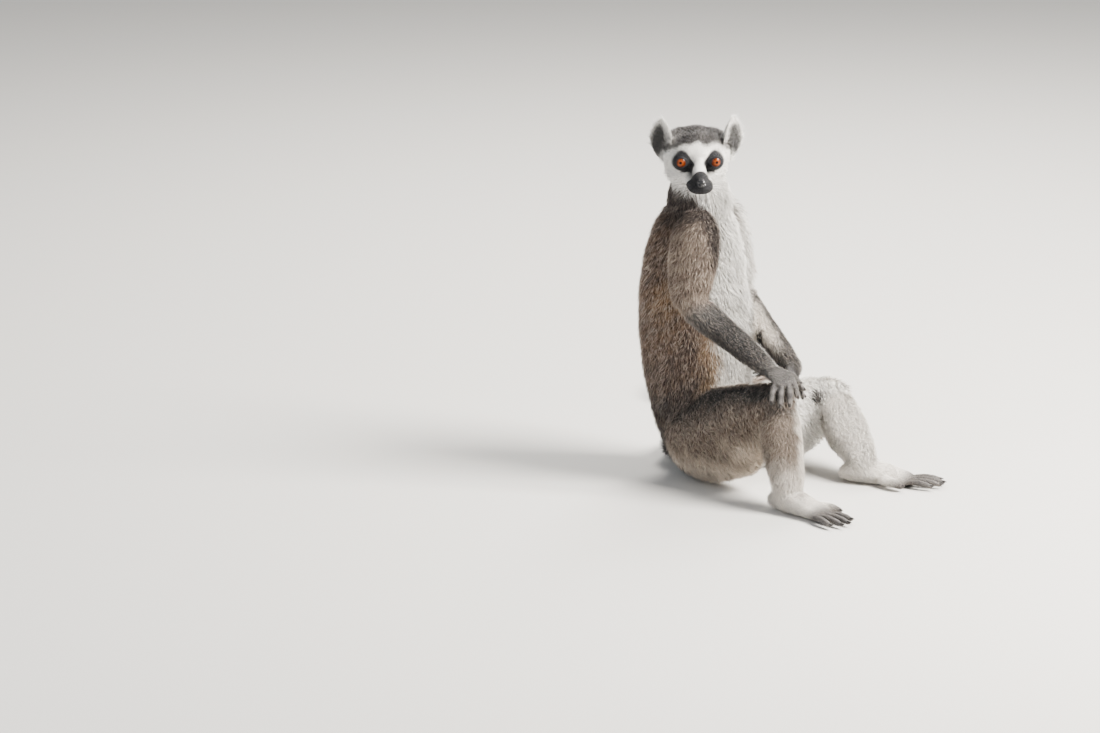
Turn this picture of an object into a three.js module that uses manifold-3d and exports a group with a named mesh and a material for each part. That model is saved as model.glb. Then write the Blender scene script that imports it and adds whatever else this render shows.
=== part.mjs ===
// A ring-tailed lemur, life size, sitting upright on its rump with its knees drawn up, both hands on
// its right knee, its head turned to its right and its tail laid out on the floor behind it.
// Millimetres, +Z up. The trunk faces -Y and +X is the animal's left. The origin is on the floor,
// under the middle of the seat. Every solid reaches out to the tips of the coat.
import * as THREE from "three";
import { mergeVertices } from "three/addons/utils/BufferGeometryUtils.js";
import Module from "manifold-3d";

const wasm = await Module();
wasm.setup();

// Driving dimensions of the animal, coat included.
const GAP = 0.35; // left between pieces that meet
const CRUMB = 400; // cubic millimetres; what a cut leaves that is smaller than this is dropped
const HIP = { apart: 30, ahead: 5, high: 50 };
const TAIL = { root: 14.5, middle: 19, end: 21.5, lengths: 6 }; // radii, and how many pieces it is parted into
const EYE_RADIUS = 8;
const FINGER_RADIUS = 4.1;
const TOE_RADIUS = 4.6;

// Joints of each limb, from the body outwards, how much fuller its calf is where the leg is folded,
// and where its toes point on the floor.
const LIMBS = {
  R: {
    shoulder: [-40, -14, 274],
    elbow: [-65.5, -17.5, 201],
    wrist: [-53, -105.5, 138],
    knee: [-59, -123, 107.5],
    ankle: [-94, -152, 22],
    calf: 0,
    toesTo: [-0.32, -0.946],
  },
  L: {
    shoulder: [38, 2, 272],
    elbow: [48.5, -9.5, 192],
    wrist: [8, -103, 126],
    knee: [107, -97, 74],
    ankle: [49, -166, 22],
    calf: 3,
    toesTo: [0.25, -1],
  },
};

const HEAD = { at: [-38.4, -13.8, 345], turn: -55.5, nod: -3 }; // between the eyes; degrees from facing -Y

const vec = (p) => new THREE.Vector3(...p);
const UP = vec([0, 0, 1]);
const LEFT = vec([1, 0, 0]);

// ---------------------------------------------------------------------------------------------
// Solids

// A closed geometry as a manifold-3d solid.
function solidOf(geometry) {
  const bare = geometry.clone();
  bare.deleteAttribute("normal");
  bare.deleteAttribute("uv");
  const merged = mergeVertices(bare, 1e-4);
  return new wasm.Manifold(
    new wasm.Mesh({
      numProp: 3,
      vertProperties: new Float32Array(merged.attributes.position.array),
      triVerts: new Uint32Array(merged.index.array),
    }),
  );
}

// A rounded body of flesh: a sphere whose parallels are carried along a smooth path through the
// stations. Each station is [point, half-width along `side`, half-depth across it].
function flesh(stations, { sides = 14, rings = 12, side = LEFT, blunt = 3, grow = 0 } = {}) {
  const path = new THREE.CatmullRomCurve3(stations.map(([point]) => vec(point)));
  const girth = new THREE.CatmullRomCurve3(
    stations.map(([, wide, deep = wide]) => new THREE.Vector3(wide, deep, 0)),
  );
  const geometry = new THREE.SphereGeometry(1, sides, rings);
  const place = geometry.attributes.position;
  for (let i = 0; i < place.count; i++) {
    const t = THREE.MathUtils.clamp((1 - place.getY(i)) / 2, 0, 1);
    const round = Math.max(0, 1 - Math.abs(2 * t - 1) ** blunt) ** (1 / blunt);
    const ring = Math.hypot(place.getX(i), place.getZ(i)) || 1;
    const size = girth.getPoint(t);
    const along = path.getTangent(t);
    const wide = side.clone().addScaledVector(along, -side.dot(along)).normalize();
    const deep = along.clone().cross(wide);
    const point = path
      .getPoint(t)
      .addScaledVector(along, grow * (2 * t - 1))
      .addScaledVector(wide, (place.getX(i) / ring) * (size.x + grow) * round)
      .addScaledVector(deep, (place.getZ(i) / ring) * (size.y + grow) * round);
    place.setXYZ(i, point.x, point.y, point.z);
  }
  return solidOf(geometry);
}

const join = (solids) => solids.reduce((whole, one) => whole.add(one));

// A thin round blade across a limb, that parts it in two.
function blade(point, along, radius) {
  const disc = new THREE.CylinderGeometry(radius, radius, GAP, 6);
  disc.applyQuaternion(new THREE.Quaternion().setFromUnitVectors(vec([0, 1, 0]), along.clone().normalize()));
  disc.translate(point.x, point.y, point.z);
  return solidOf(disc);
}

// The largest of a solid's separate bodies.
const largest = (solid) => solid.decompose().sort((a, b) => b.volume() - a.volume())[0];

// The pieces that blades leave of a solid, in the order of the points they are nearest to.
function parted(solid, blades, points) {
  const bodies = blades.reduce((rest, one) => rest.subtract(one), solid).decompose();
  const middle = (body) => {
    const box = body.boundingBox();
    return vec(box.min).add(vec(box.max)).multiplyScalar(0.5);
  };
  return points.map((point) =>
    bodies
      .filter((body) => body.volume() > CRUMB)
      .reduce((a, b) => (middle(a).distanceTo(point) < middle(b).distanceTo(point) ? a : b)),
  );
}

// Everything is trimmed flat where it rests on the floor.
const FLOOR = solidOf(new THREE.BoxGeometry(1200, 1200, 60).translate(0, 0, -30));

// ---------------------------------------------------------------------------------------------
// Head, in its own frame: x to the animal's right, y forward out of the face, z up, origin between
// the eyes.

const headFrame = new THREE.Matrix4()
  .makeRotationZ(THREE.MathUtils.degToRad(HEAD.turn + 180))
  .multiply(new THREE.Matrix4().makeRotationX(THREE.MathUtils.degToRad(HEAD.nod)))
  .setPosition(vec(HEAD.at));
const onHead = (x, y, z) => vec([x, y, z]).applyMatrix4(headFrame).toArray();
const headSide = LEFT.clone().transformDirection(headFrame);
const EYES = { apart: 17.4, forward: -1.5, high: 0 };

function skull(grow = 0) {
  const cranium = [
    [onHead(0, -60, 0), 18, 18],
    [onHead(0, -46, 3), 30, 27.5],
    [onHead(0, -28, 2.4), 35.5, 32],
    [onHead(0, -12, 1), 34.5, 28.5],
    [onHead(0, -1, -2), 26, 21],
    [onHead(0, 4, -4), 17, 14],
  ];
  // the crown is fuller on each side, towards the ear
  const temple = (side) => [
    [onHead(side * 15, -50, 7.5), 11],
    [onHead(side * 17, -38, 11), 18],
    [onHead(side * 17, -26, 12.5), 20.5],
    [onHead(side * 16, -13, 9.5), 17.5],
    [onHead(side * 13, -3, 5), 9],
  ];
  const jaw = [
    [onHead(0, -52, -8), 22, 20],
    [onHead(0, -36, -12), 31, 24],
    [onHead(0, -18, -13), 34, 23.5],
    [onHead(0, -6, -16), 27, 18],
    [onHead(0, 2, -19), 19, 12],
  ];
  const bridge = [
    [onHead(0, -14, -2), 13, 13],
    [onHead(0, 4, -4.5), 10, 11],
    [onHead(0, 18, -9.5), 9.5, 9],
    [onHead(0, 31, -12.5), 8.5, 7],
    [onHead(0, 38, -14.5), 6, 5],
  ];
  const snout = [
    [onHead(0, -10, -19), 20, 14],
    [onHead(0, 8, -20), 16, 11.5],
    [onHead(0, 22, -20.5), 14.5, 9.5],
    [onHead(0, 33, -19.5), 13, 8.5],
    [onHead(0, 39, -18), 9, 6.5],
  ];
  return join([
    flesh(cranium, { sides: 16, rings: 9, side: headSide, grow }),
    flesh(temple(-1), { sides: 8, rings: 6, side: headSide, grow }),
    flesh(temple(1), { sides: 8, rings: 6, side: headSide, grow }),
    flesh(jaw, { sides: 14, rings: 9, side: headSide, grow }),
    flesh(bridge, { sides: 12, rings: 8, side: headSide, grow }),
    flesh(snout, { sides: 12, rings: 8, side: headSide, grow }),
  ]);
}

function noseTip(grow = 0) {
  const pad = [
    [onHead(0, 31, -12), 4, 3.5],
    [onHead(0, 36, -12), 5.8, 5],
    [onHead(0, 41.5, -14), 5.2, 4.6],
  ];
  return flesh(pad, { sides: 10, rings: 7, side: headSide, grow });
}

function eye(side, radius) {
  const ball = new THREE.SphereGeometry(radius, 12, 7);
  ball.translate(...onHead(-side * EYES.apart, EYES.forward, EYES.high));
  return solidOf(ball);
}

// A cupped leaf, thin at the rim, that stands up and out from the side of the head and opens
// forwards and outwards.
function ear(side) {
  const long = 25;
  const wide = 14;
  const thick = 3.2;
  const cup = 7;
  const leaf = new THREE.SphereGeometry(1, 14, 9);
  const place = leaf.attributes.position;
  for (let i = 0; i < place.count; i++) {
    const [across, through, up] = [place.getX(i), -place.getZ(i), place.getY(i)];
    const narrow = 1 - 0.3 * Math.max(0, up) ** 2 - 0.12 * Math.max(0, -up) ** 2;
    place.setXYZ(i, across * wide * narrow, through * thick + cup * (across ** 2 + 0.35 * up ** 2), up * long);
  }
  const turned = new THREE.Matrix4()
    .makeRotationZ(THREE.MathUtils.degToRad(side * 38))
    .premultiply(new THREE.Matrix4().makeRotationX(THREE.MathUtils.degToRad(-8)))
    .premultiply(new THREE.Matrix4().makeRotationY(THREE.MathUtils.degToRad(-side * 4)))
    .setPosition(-side * 33.8, -20, 19)
    .premultiply(headFrame);
  return solidOf(leaf.applyMatrix4(turned));
}

// ---------------------------------------------------------------------------------------------
// Trunk, neck and tail

function trunk(grow = 0) {
  const spine = [
    [[0, 0, -6], 36, 36],
    [[0, 0, 25], 49, 47],
    [[0, 1, 60], 54, 55],
    [[0, 4, 95], 56, 59],
    [[0, 8, 135], 57, 63],
    [[0, 12, 177], 54, 63],
    [[0, 12, 215], 50, 60],
    [[0, 10, 252], 46, 56],
    [[0, 6, 284], 39, 48],
    [[-2, 4, 307], 30, 33],
  ];
  return flesh(spine, { sides: 16, rings: 14, blunt: 3.2, grow });
}

function neck(grow = 0) {
  const nape = [
    [[0, 5, 272], 37, 41],
    [[-3, 4, 292], 36, 38],
    [[-8, 2, 311], 33, 34],
    [[-14, 0, 329], 28, 29],
    [[-17, -2, 344], 22, 22],
  ];
  return flesh(nape, { sides: 12, rings: 7, blunt: 3.5, grow });
}

// The tail leaves the rump, turns to the animal's left and lies in a long hook on the floor.
const tailPath = new THREE.CatmullRomCurve3(
  [
    [0, 18, 22],
    [10, 40, 17],
    [42, 56, 14.5],
    [86, 56, 15],
    [131, 42, 16.5],
    [178, 43, 18],
    [216, 74, 19],
    [232, 122, 20],
    [258, 165, 20.5],
    [306, 177, 20.5],
    [348, 153, 20.5],
    [350, 110, 20],
    [318, 84, 19],
  ].map(vec),
);

function tail(grow = 0) {
  const steps = 14;
  const stations = Array.from({ length: steps + 1 }, (_, i) => {
    const t = i / steps;
    const grown = THREE.MathUtils.smoothstep(t, 0, 0.35);
    const full = THREE.MathUtils.lerp(TAIL.middle, TAIL.end, THREE.MathUtils.smoothstep(t, 0.3, 0.85));
    const radius = THREE.MathUtils.lerp(TAIL.root, full, grown) * (1 - 3 * Math.max(0, t - 0.86));
    const point = tailPath.getPointAt(t);
    return [[point.x, point.y, radius - 1], radius];
  });
  // the root is higher, where the tail comes out of the rump
  stations[0][0][2] = 24;
  stations[1][0][2] = 18;
  return flesh(stations, { sides: 10, rings: 22, side: UP, blunt: 12, grow });
}

// ---------------------------------------------------------------------------------------------
// Legs

const hipAt = (side) => [side * HIP.apart, HIP.ahead, HIP.high];
const between = (a, b, t) => vec(a).lerp(vec(b), t).toArray();
const shifted = (p, x, y, z) => [p[0] + x, p[1] + y, p[2] + z];

function thigh(side, { knee }, grow = 0) {
  const hip = hipAt(side);
  return flesh(
    [
      [between(hip, knee, -0.15), 30, 34],
      [shifted(between(hip, knee, 0.1), 0, 0, -8), 37, 52],
      [shifted(between(hip, knee, 0.45), 0, 0, -16), 32, 54],
      [shifted(between(hip, knee, 0.8), 0, 0, -9), 27, 41],
      [between(hip, knee, 1.04), 22.5, 23.5],
      [between(hip, knee, 1.18), 15, 15],
    ],
    { sides: 14, rings: 11, grow },
  );
}

function shin({ knee, ankle, calf }, grow = 0) {
  return flesh(
    [
      [between(knee, ankle, -0.1), 18, 18],
      [between(knee, ankle, 0.15), 23.5 + calf / 2, 24.5 + calf / 2],
      [shifted(between(knee, ankle, 0.42), 0, 3, 0), 22.5 + calf, 23.5 + calf],
      [between(knee, ankle, 0.75), 18.5 + calf / 3, 19.5 + calf / 3],
      [between(knee, ankle, 1), 15.5, 15.5],
      [between(knee, ankle, 1.14), 11, 11],
    ],
    { sides: 12, rings: 10, grow },
  );
}

// A long foot flat on the floor: heel, instep and ball in one, four toes that fan out in front and
// a big toe that stands off to the inside.
function foot(side, { ankle, toesTo }, grow = 0) {
  const ahead = vec([...toesTo, 0]).normalize();
  const inward = ahead.clone().cross(UP).multiplyScalar(side);
  const at = (forward, across, high) => [
    ankle[0] + ahead.x * forward + inward.x * across,
    ankle[1] + ahead.y * forward + inward.y * across,
    high,
  ];
  const options = { side: inward, grow };
  const sole = flesh(
    [
      [at(-27, 0, 8), 11, 9.5],
      [at(-12, 0, 11), 13.5, 13.5],
      [at(4, 0, 13), 14.5, 15],
      [at(26, 1, 10), 14.5, 12],
      [at(48, 1, 7), 16, 9],
      [at(60, 0, 5.5), 15, 7],
    ],
    { ...options, sides: 10, rings: 7 },
  );
  const toes = [-1.5, -0.5, 0.5, 1.5].map((place, i) => {
    const long = [28, 34, 33, 25][i];
    const spread = place * 9;
    return flesh(
      [
        [at(46, spread * 0.8, 6), TOE_RADIUS],
        [at(56 + long * 0.25, spread, 7), TOE_RADIUS],
        [at(56 + long * 0.65, spread * 1.15, 6), TOE_RADIUS * 0.95],
        [at(56 + long, spread * 1.25, 3.6), TOE_RADIUS * 0.9],
      ],
      { ...options, sides: 6, rings: 5 },
    );
  });
  const bigToe = flesh(
    [
      [at(14, 6, 8), 7],
      [at(28, 17, 8), 6.4],
      [at(40, 25, 7.4), 6],
      [at(52, 29, 4.6), 5.6],
    ],
    { ...options, sides: 6, rings: 5 },
  );
  return join([sole, ...toes, bigToe]);
}

// ---------------------------------------------------------------------------------------------
// Arms

function upperArm({ shoulder, elbow }, grow = 0) {
  return flesh(
    [
      [between(shoulder, elbow, -0.3), 17, 24],
      [between(shoulder, elbow, 0.05), 22, 31],
      [between(shoulder, elbow, 0.5), 20, 30.5],
      [between(shoulder, elbow, 0.95), 18, 24.5],
      [between(shoulder, elbow, 1.18), 13, 15.5],
    ],
    { sides: 12, rings: 10, grow },
  );
}

function forearm({ elbow, wrist }, grow = 0) {
  return flesh(
    [
      [between(elbow, wrist, -0.12), 14, 14],
      [between(elbow, wrist, 0.08), 18.5, 19],
      [between(elbow, wrist, 0.38), 15.5, 16.5],
      [between(elbow, wrist, 0.75), 12.5, 13.5],
      [between(elbow, wrist, 1), 11, 10.5],
      [between(elbow, wrist, 1.08), 7.5, 7],
    ],
    { sides: 12, rings: 10, grow },
  );
}

// A hand that lies on the right knee. A place on the knee is a bearing round it, in degrees from
// straight ahead with the animal's right negative, and degrees down from its top.
const KNEE_REACH = 28;

function onKnee(bearing, down, above = 0) {
  const [b, d] = [bearing, down].map(THREE.MathUtils.degToRad);
  const reach = KNEE_REACH + above;
  const [x, y, z] = [Math.sin(b) * Math.sin(d), -Math.cos(b) * Math.sin(d), Math.cos(d)];
  return shifted(LIMBS.R.knee, x * reach, y * reach, z * reach);
}

function hand({ wrist }, { across, knuckles, fingers }, grow = 0) {
  const end = onKnee(...knuckles, 1);
  const options = { side: vec(across).normalize(), grow };
  const palm = flesh(
    [
      [between(wrist, end, -0.14), 7, 6.5],
      [between(wrist, end, 0.25), 10.5, 8],
      [shifted(between(wrist, end, 0.7), 0, 0, 1.5), 13.5, 7],
      [between(wrist, end, 1), 13.5, 6],
      [between(wrist, end, 1.15), 11, 4.5],
    ],
    { ...options, sides: 10, rings: 7 },
  );
  const digits = fingers.map(([[b0, d0], [b1, d1], radius]) =>
    flesh(
      [0, 0.35, 0.7, 1].map((t) => [
        onKnee(THREE.MathUtils.lerp(b0, b1, t), THREE.MathUtils.lerp(d0, d1, t), t === 0.35 ? 2.5 : 0),
        radius * (1 - 0.18 * t),
      ]),
      { ...options, sides: 6, rings: 6 },
    ),
  );
  return join([palm, ...digits]);
}

// The right hand is laid over the top and its fingers hang down the front; the left one reaches
// across to the inner side and its fingers curl round towards the front.
const HANDS = {
  R: {
    across: [0.8, -0.6, 0],
    knuckles: [-42, 38],
    fingers: [
      [[-78, 38], [-80, 88], FINGER_RADIUS],
      [[-58, 38], [-62, 94], FINGER_RADIUS],
      [[-38, 36], [-42, 92], FINGER_RADIUS],
      [[-18, 30], [-20, 78], FINGER_RADIUS],
      [[18, 8], [12, 50], FINGER_RADIUS * 1.1],
    ],
  },
  L: {
    across: [0.1, 0.25, 1],
    knuckles: [92, 62],
    fingers: [
      [[96, 38], [56, 36], FINGER_RADIUS * 1.1],
      [[92, 52], [46, 56], FINGER_RADIUS],
      [[92, 66], [44, 72], FINGER_RADIUS],
      [[92, 80], [48, 88], FINGER_RADIUS],
      [[94, 94], [56, 104], FINGER_RADIUS],
    ],
  },
};

// ---------------------------------------------------------------------------------------------
// Assembly

// Each coat's colour and roughness.
const COLOURS = {
  white: [0xe9e6e0, 0.9],
  grey: [0x77736f, 0.9],
  brown: [0x6b5a50, 0.9],
  amber: [0xb8561a, 0.15],
  black: [0x1c1b1d, 0.5],
};

const lemur = new THREE.Group();

function add(name, solid, colour) {
  const mesh = largest(solid).getMesh();
  const geometry = new THREE.BufferGeometry();
  geometry.setAttribute("position", new THREE.BufferAttribute(mesh.vertProperties, 3));
  geometry.setIndex(new THREE.BufferAttribute(mesh.triVerts, 1));
  geometry.computeVertexNormals();
  const [color, roughness] = COLOURS[colour];
  const piece = new THREE.Mesh(geometry, new THREE.MeshStandardMaterial({ color, roughness, metalness: 0 }));
  piece.name = name;
  lemur.add(piece);
}

const SIDES = { R: -1, L: 1 };

// Head: the eyes sit in sockets and the nose is the tip of the muzzle.
const eyes = Object.fromEntries(Object.entries(SIDES).map(([name, side]) => [name, eye(side, EYE_RADIUS)]));
const sockets = join(Object.values(SIDES).map((side) => eye(side, EYE_RADIUS + GAP)));
add("head", skull().subtract(sockets).subtract(noseTip(GAP)), "white");
add("nose", noseTip(), "black");
for (const [name, side] of Object.entries(SIDES)) {
  add(`eye_${name}`, eyes[name], "amber");
  add(`ear_${name}`, ear(side).subtract(skull(GAP)), "white");
}

const ears = join(Object.values(SIDES).map(ear));
add("neck", neck().subtract(skull(GAP)).subtract(trunk(GAP)).subtract(ears), "white");
add("trunk", trunk().subtract(skull(GAP)).subtract(FLOOR), "brown");

// Tail: one long body, parted into lengths.
const bladeRadius = 1.7 * TAIL.end;
const tailCuts = Array.from({ length: TAIL.lengths - 1 }, (_, i) => (i + 1) / TAIL.lengths);
const tailMiddles = Array.from({ length: TAIL.lengths }, (_, i) => tailPath.getPointAt((i + 0.5) / TAIL.lengths));
parted(
  tail().subtract(trunk(GAP)).subtract(FLOOR),
  tailCuts.map((t) => blade(tailPath.getPointAt(t), tailPath.getTangentAt(t), bladeRadius)),
  tailMiddles,
).forEach((piece, i) => add(`tail_${i + 1}`, piece, i % 2 ? "black" : "white"));

// Legs, then arms: each piece is cleared of the one before it and of all that it lies against.
const clear = (solid, ...others) => others.reduce((rest, other) => rest.subtract(other), solid);
const body = trunk(GAP);
const legs = join(
  Object.entries(SIDES).flatMap(([name, side]) => [thigh(side, LIMBS[name], GAP), shin(LIMBS[name], GAP)]),
);
for (const [name, side] of Object.entries(SIDES)) {
  const limb = LIMBS[name];
  add(`thigh_${name}`, clear(thigh(side, limb), body, FLOOR), "grey");
  add(`shin_${name}`, clear(shin(limb), body, thigh(side, limb, GAP), FLOOR), "grey");
  add(`foot_${name}`, clear(foot(side, limb), thigh(side, limb, GAP), shin(limb, GAP), FLOOR), "grey");
  const shoulder = upperArm(limb, GAP);
  add(`upper_arm_${name}`, clear(upperArm(limb), body, neck(GAP)), "brown");
  add(`forearm_${name}`, clear(forearm(limb), body, legs, shoulder), "grey");
  const other = name === "L" ? [hand(LIMBS.R, HANDS.R, GAP), forearm(LIMBS.R, GAP)] : [];
  add(`hand_${name}`, clear(hand(limb, HANDS[name]), body, legs, forearm(limb, GAP), ...other), "grey");
}

export default lemur;
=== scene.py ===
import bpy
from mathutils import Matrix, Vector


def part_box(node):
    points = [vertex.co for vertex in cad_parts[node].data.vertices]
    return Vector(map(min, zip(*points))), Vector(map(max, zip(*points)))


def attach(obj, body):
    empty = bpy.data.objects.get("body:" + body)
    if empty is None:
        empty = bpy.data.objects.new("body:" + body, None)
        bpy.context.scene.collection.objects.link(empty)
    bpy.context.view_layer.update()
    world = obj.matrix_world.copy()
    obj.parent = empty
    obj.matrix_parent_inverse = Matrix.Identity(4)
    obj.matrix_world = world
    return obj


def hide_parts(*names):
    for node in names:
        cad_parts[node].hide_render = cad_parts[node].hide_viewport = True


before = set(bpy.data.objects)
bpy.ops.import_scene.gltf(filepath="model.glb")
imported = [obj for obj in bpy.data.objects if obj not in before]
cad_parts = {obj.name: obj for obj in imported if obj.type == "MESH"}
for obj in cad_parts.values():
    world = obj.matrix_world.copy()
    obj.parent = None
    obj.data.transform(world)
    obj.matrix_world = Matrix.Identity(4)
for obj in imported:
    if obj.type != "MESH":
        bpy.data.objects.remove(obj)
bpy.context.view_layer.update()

import bpy
import numpy as np
import openvdb as vdb
from mathutils import Matrix, Vector

# ---- Camera ----
# A long lens from the animal's front right, a little above its head, with the animal standing to
# the right of the middle of the frame.
AZIMUTH, ELEVATION, DISTANCE, LENS = -60.0, 14.0, 6.0, 185.0
AIM_LEFT, AIM_UP = 0.1613, 0.1120  # from the middle of the seat to the middle of the frame
turn, rise = np.radians(AZIMUTH), np.radians(ELEVATION)
back = np.array([np.sin(turn) * np.cos(rise), -np.cos(turn) * np.cos(rise), np.sin(rise)])
right = np.array([np.cos(turn), np.sin(turn), 0.0])
upward = np.cross(back, right)
stand = DISTANCE * back - AIM_LEFT * right + AIM_UP * upward
camera_data = bpy.data.cameras.new("camera")
camera_data.lens, camera_data.sensor_width = LENS, 36.0
camera_data.clip_start, camera_data.clip_end = 0.05, 60.0
camera = bpy.data.objects.new("camera", camera_data)
bpy.context.scene.collection.objects.link(camera)
camera.matrix_world = Matrix([[right[i], upward[i], back[i], stand[i]] for i in range(3)] + [[0, 0, 0, 1]])
bpy.context.scene.camera = camera

# ---- Studio ----
# A wide pale floor under a pale sky, with a broad warm key light high in front of the animal, a weak
# cool fill from its right and a rim light from behind its left.
FLOOR_HALF = 30.0
CHEST = Vector((0.05, 0, 0.2))  # where the lamps point


def new_material(name):
    """A material, its node tree and the shader in it."""
    material = bpy.data.materials.new(name)
    material.use_nodes = True
    return material, material.node_tree, material.node_tree.nodes["Principled BSDF"]


stage_material, tree, shader = new_material("studio_floor")
shader.inputs["Base Color"].default_value = (0.66, 0.65, 0.63, 1)
shader.inputs["Roughness"].default_value = 0.9
floor_mesh = bpy.data.meshes.new("studio_floor")
floor_corners = [(a * FLOOR_HALF, b * FLOOR_HALF, 0) for a, b in ((-1, -1), (1, -1), (1, 1), (-1, 1))]
floor_mesh.from_pydata(floor_corners, [], [(0, 1, 2, 3)])
floor_mesh.materials.append(stage_material)
floor = bpy.data.objects.new("studio_floor", floor_mesh)
bpy.context.scene.collection.objects.link(floor)


def area_light(name, azimuth, elevation, distance, size, power, colour):
    """A square lamp facing the animal's chest from that azimuth and elevation, in degrees."""
    a, e = np.radians(azimuth), np.radians(elevation)
    out = Vector((np.sin(a) * np.cos(e), -np.cos(a) * np.cos(e), np.sin(e)))
    data = bpy.data.lights.new(name, "AREA")
    data.size, data.energy, data.color = size, power, colour
    lamp = bpy.data.objects.new(name, data)
    lamp.location = CHEST + out * distance
    lamp.rotation_euler = out.to_track_quat("Z", "Y").to_euler()
    bpy.context.scene.collection.objects.link(lamp)


area_light("key", 8, 42, 2.2, 1.0, 160, (1.0, 0.955, 0.89))
area_light("fill", -110, 25, 2.4, 1.8, 16, (0.93, 0.96, 1.0))
area_light("rim", 110, 45, 2.2, 1.0, 50, (1.0, 0.96, 0.90))
world = bpy.data.worlds.new("studio")
world.use_nodes = True
world.node_tree.nodes["Background"].inputs["Color"].default_value = (0.86, 0.88, 0.9, 1)
world.node_tree.nodes["Background"].inputs["Strength"].default_value = 0.42
bpy.context.scene.world = world
bpy.context.scene.view_settings.view_transform = "AgX"
bpy.context.scene.view_settings.look = "AgX - Medium High Contrast"

# ---- Skin ----
# The hide, one closed surface under the whole coat. The solids of flesh are melted into one
# distance field, smoothed where limbs meet the body and drawn in by the depth of the coat; hands,
# feet and ears keep nearly their full size, since their hair is short or missing.
VOXEL = 0.0013
FINE_VOXEL = 0.0006
CLOSE = 0.0012  # the field is first taken this far out, which shuts the cuts between the solids
BAND = 0.014  # distances are kept this far on each side of a surface
SPREAD = 0.0045  # how far one region's depth and marks run into the next
ADAPT = 0.03  # how freely flat stretches of the mesh may have larger triangles
SOFT, FIRM, FINE_SOFT = 0.0042, 0.0013, 0.0008  # smoothing of the body, of its detailed ends and of bare ends
DEPTH = {  # of the coat over each region
    "trunk": 0.0050, "neck": 0.0046, "upper_arm": 0.0040, "forearm": 0.0016, "thigh": 0.0048, "shin": 0.0018,
    "tail": 0.0062, "tail_1": 0.0048, "hand": 0.0120, "foot": 0.0120, "ear": 0.0040, "head": 0.0030,
    "eye": 0.0030, "nose": 0.0020,
}
BARE_DEPTH = {"hand": 0.0004, "foot": 0.0009, "ear": 0.0005}
WRIST = {"_R": (-0.0530, -0.1055, 0.1380), "_L": (0.0080, -0.1030, 0.1260)}
ANKLE = {"_R": (-0.094, -0.152, 0.022), "_L": (0.049, -0.166, 0.022)}
JOINT = {
    **{part + side: point for part in ("hand", "forearm") for side, point in WRIST.items()},
    **{part + side: point for part in ("foot", "shin") for side, point in ANKLE.items()},
}
JOINT_DEPTH, BARE_REACH, LIMB_REACH, KNEE_FROM, DETAIL_REACH = 0.0009, 0.028, 0.038, 0.045, 0.030
COVERED_DEPTH, COVERED_REACH = 0.0025, 0.017  # a bare end is drawn in further where its limb covers it
EAR_ROOT, EAR_CLEAR = (0.0310, -0.0190, 0.0030), 0.012
NAPE_DEPTH, FACE_DEPTH, CHEEK_DEPTH = 0.0036, 0.0007, 0.0014
FACE_FROM, FACE_RISE, CHEEK_FROM, CHEEK_RISE, CHEEK_DROP = -0.022, 0.036, 0.013, 0.012, 0.016
NO_SHARE, NO_DEPTH = 1e-4, 0.008  # what stands in for the nodes where none is near
HEAD_AT = np.array([-0.0384, -0.0138, 0.3450])
HEAD_TURN, HEAD_NOD = -55.5, -3.0
EYE_APART, EYE_FORWARD, EYE_RADIUS = 0.0174, -0.0015, 0.0080
head_axes = np.array(
    Matrix.Rotation(np.radians(HEAD_TURN + 180), 3, "Z") @ Matrix.Rotation(np.radians(HEAD_NOD), 3, "X")
)


def in_head(points):
    """Points in the head's own frame, from between the eyes: x to its right, y out of the face, z up."""
    return (points - HEAD_AT) @ head_axes


def region_of(name):
    """A CAD node's name without its side or number."""
    return name[:-2] if name[-2] == "_" else name


def node_mesh(name):
    """A CAD node's vertices and triangles, with doubled vertices merged."""
    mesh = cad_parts[name].data
    co = np.empty(len(mesh.vertices) * 3, np.float32)
    mesh.vertices.foreach_get("co", co)
    mesh.calc_loop_triangles()
    tris = np.empty(len(mesh.loop_triangles) * 3, np.int32)
    mesh.loop_triangles.foreach_get("vertices", tris)
    points, inverse = np.unique(np.round(co.reshape(-1, 3), 6), axis=0, return_inverse=True)
    return points.astype(np.float32), inverse.reshape(-1)[tris].reshape(-1, 3).astype(np.uint32)


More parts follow.
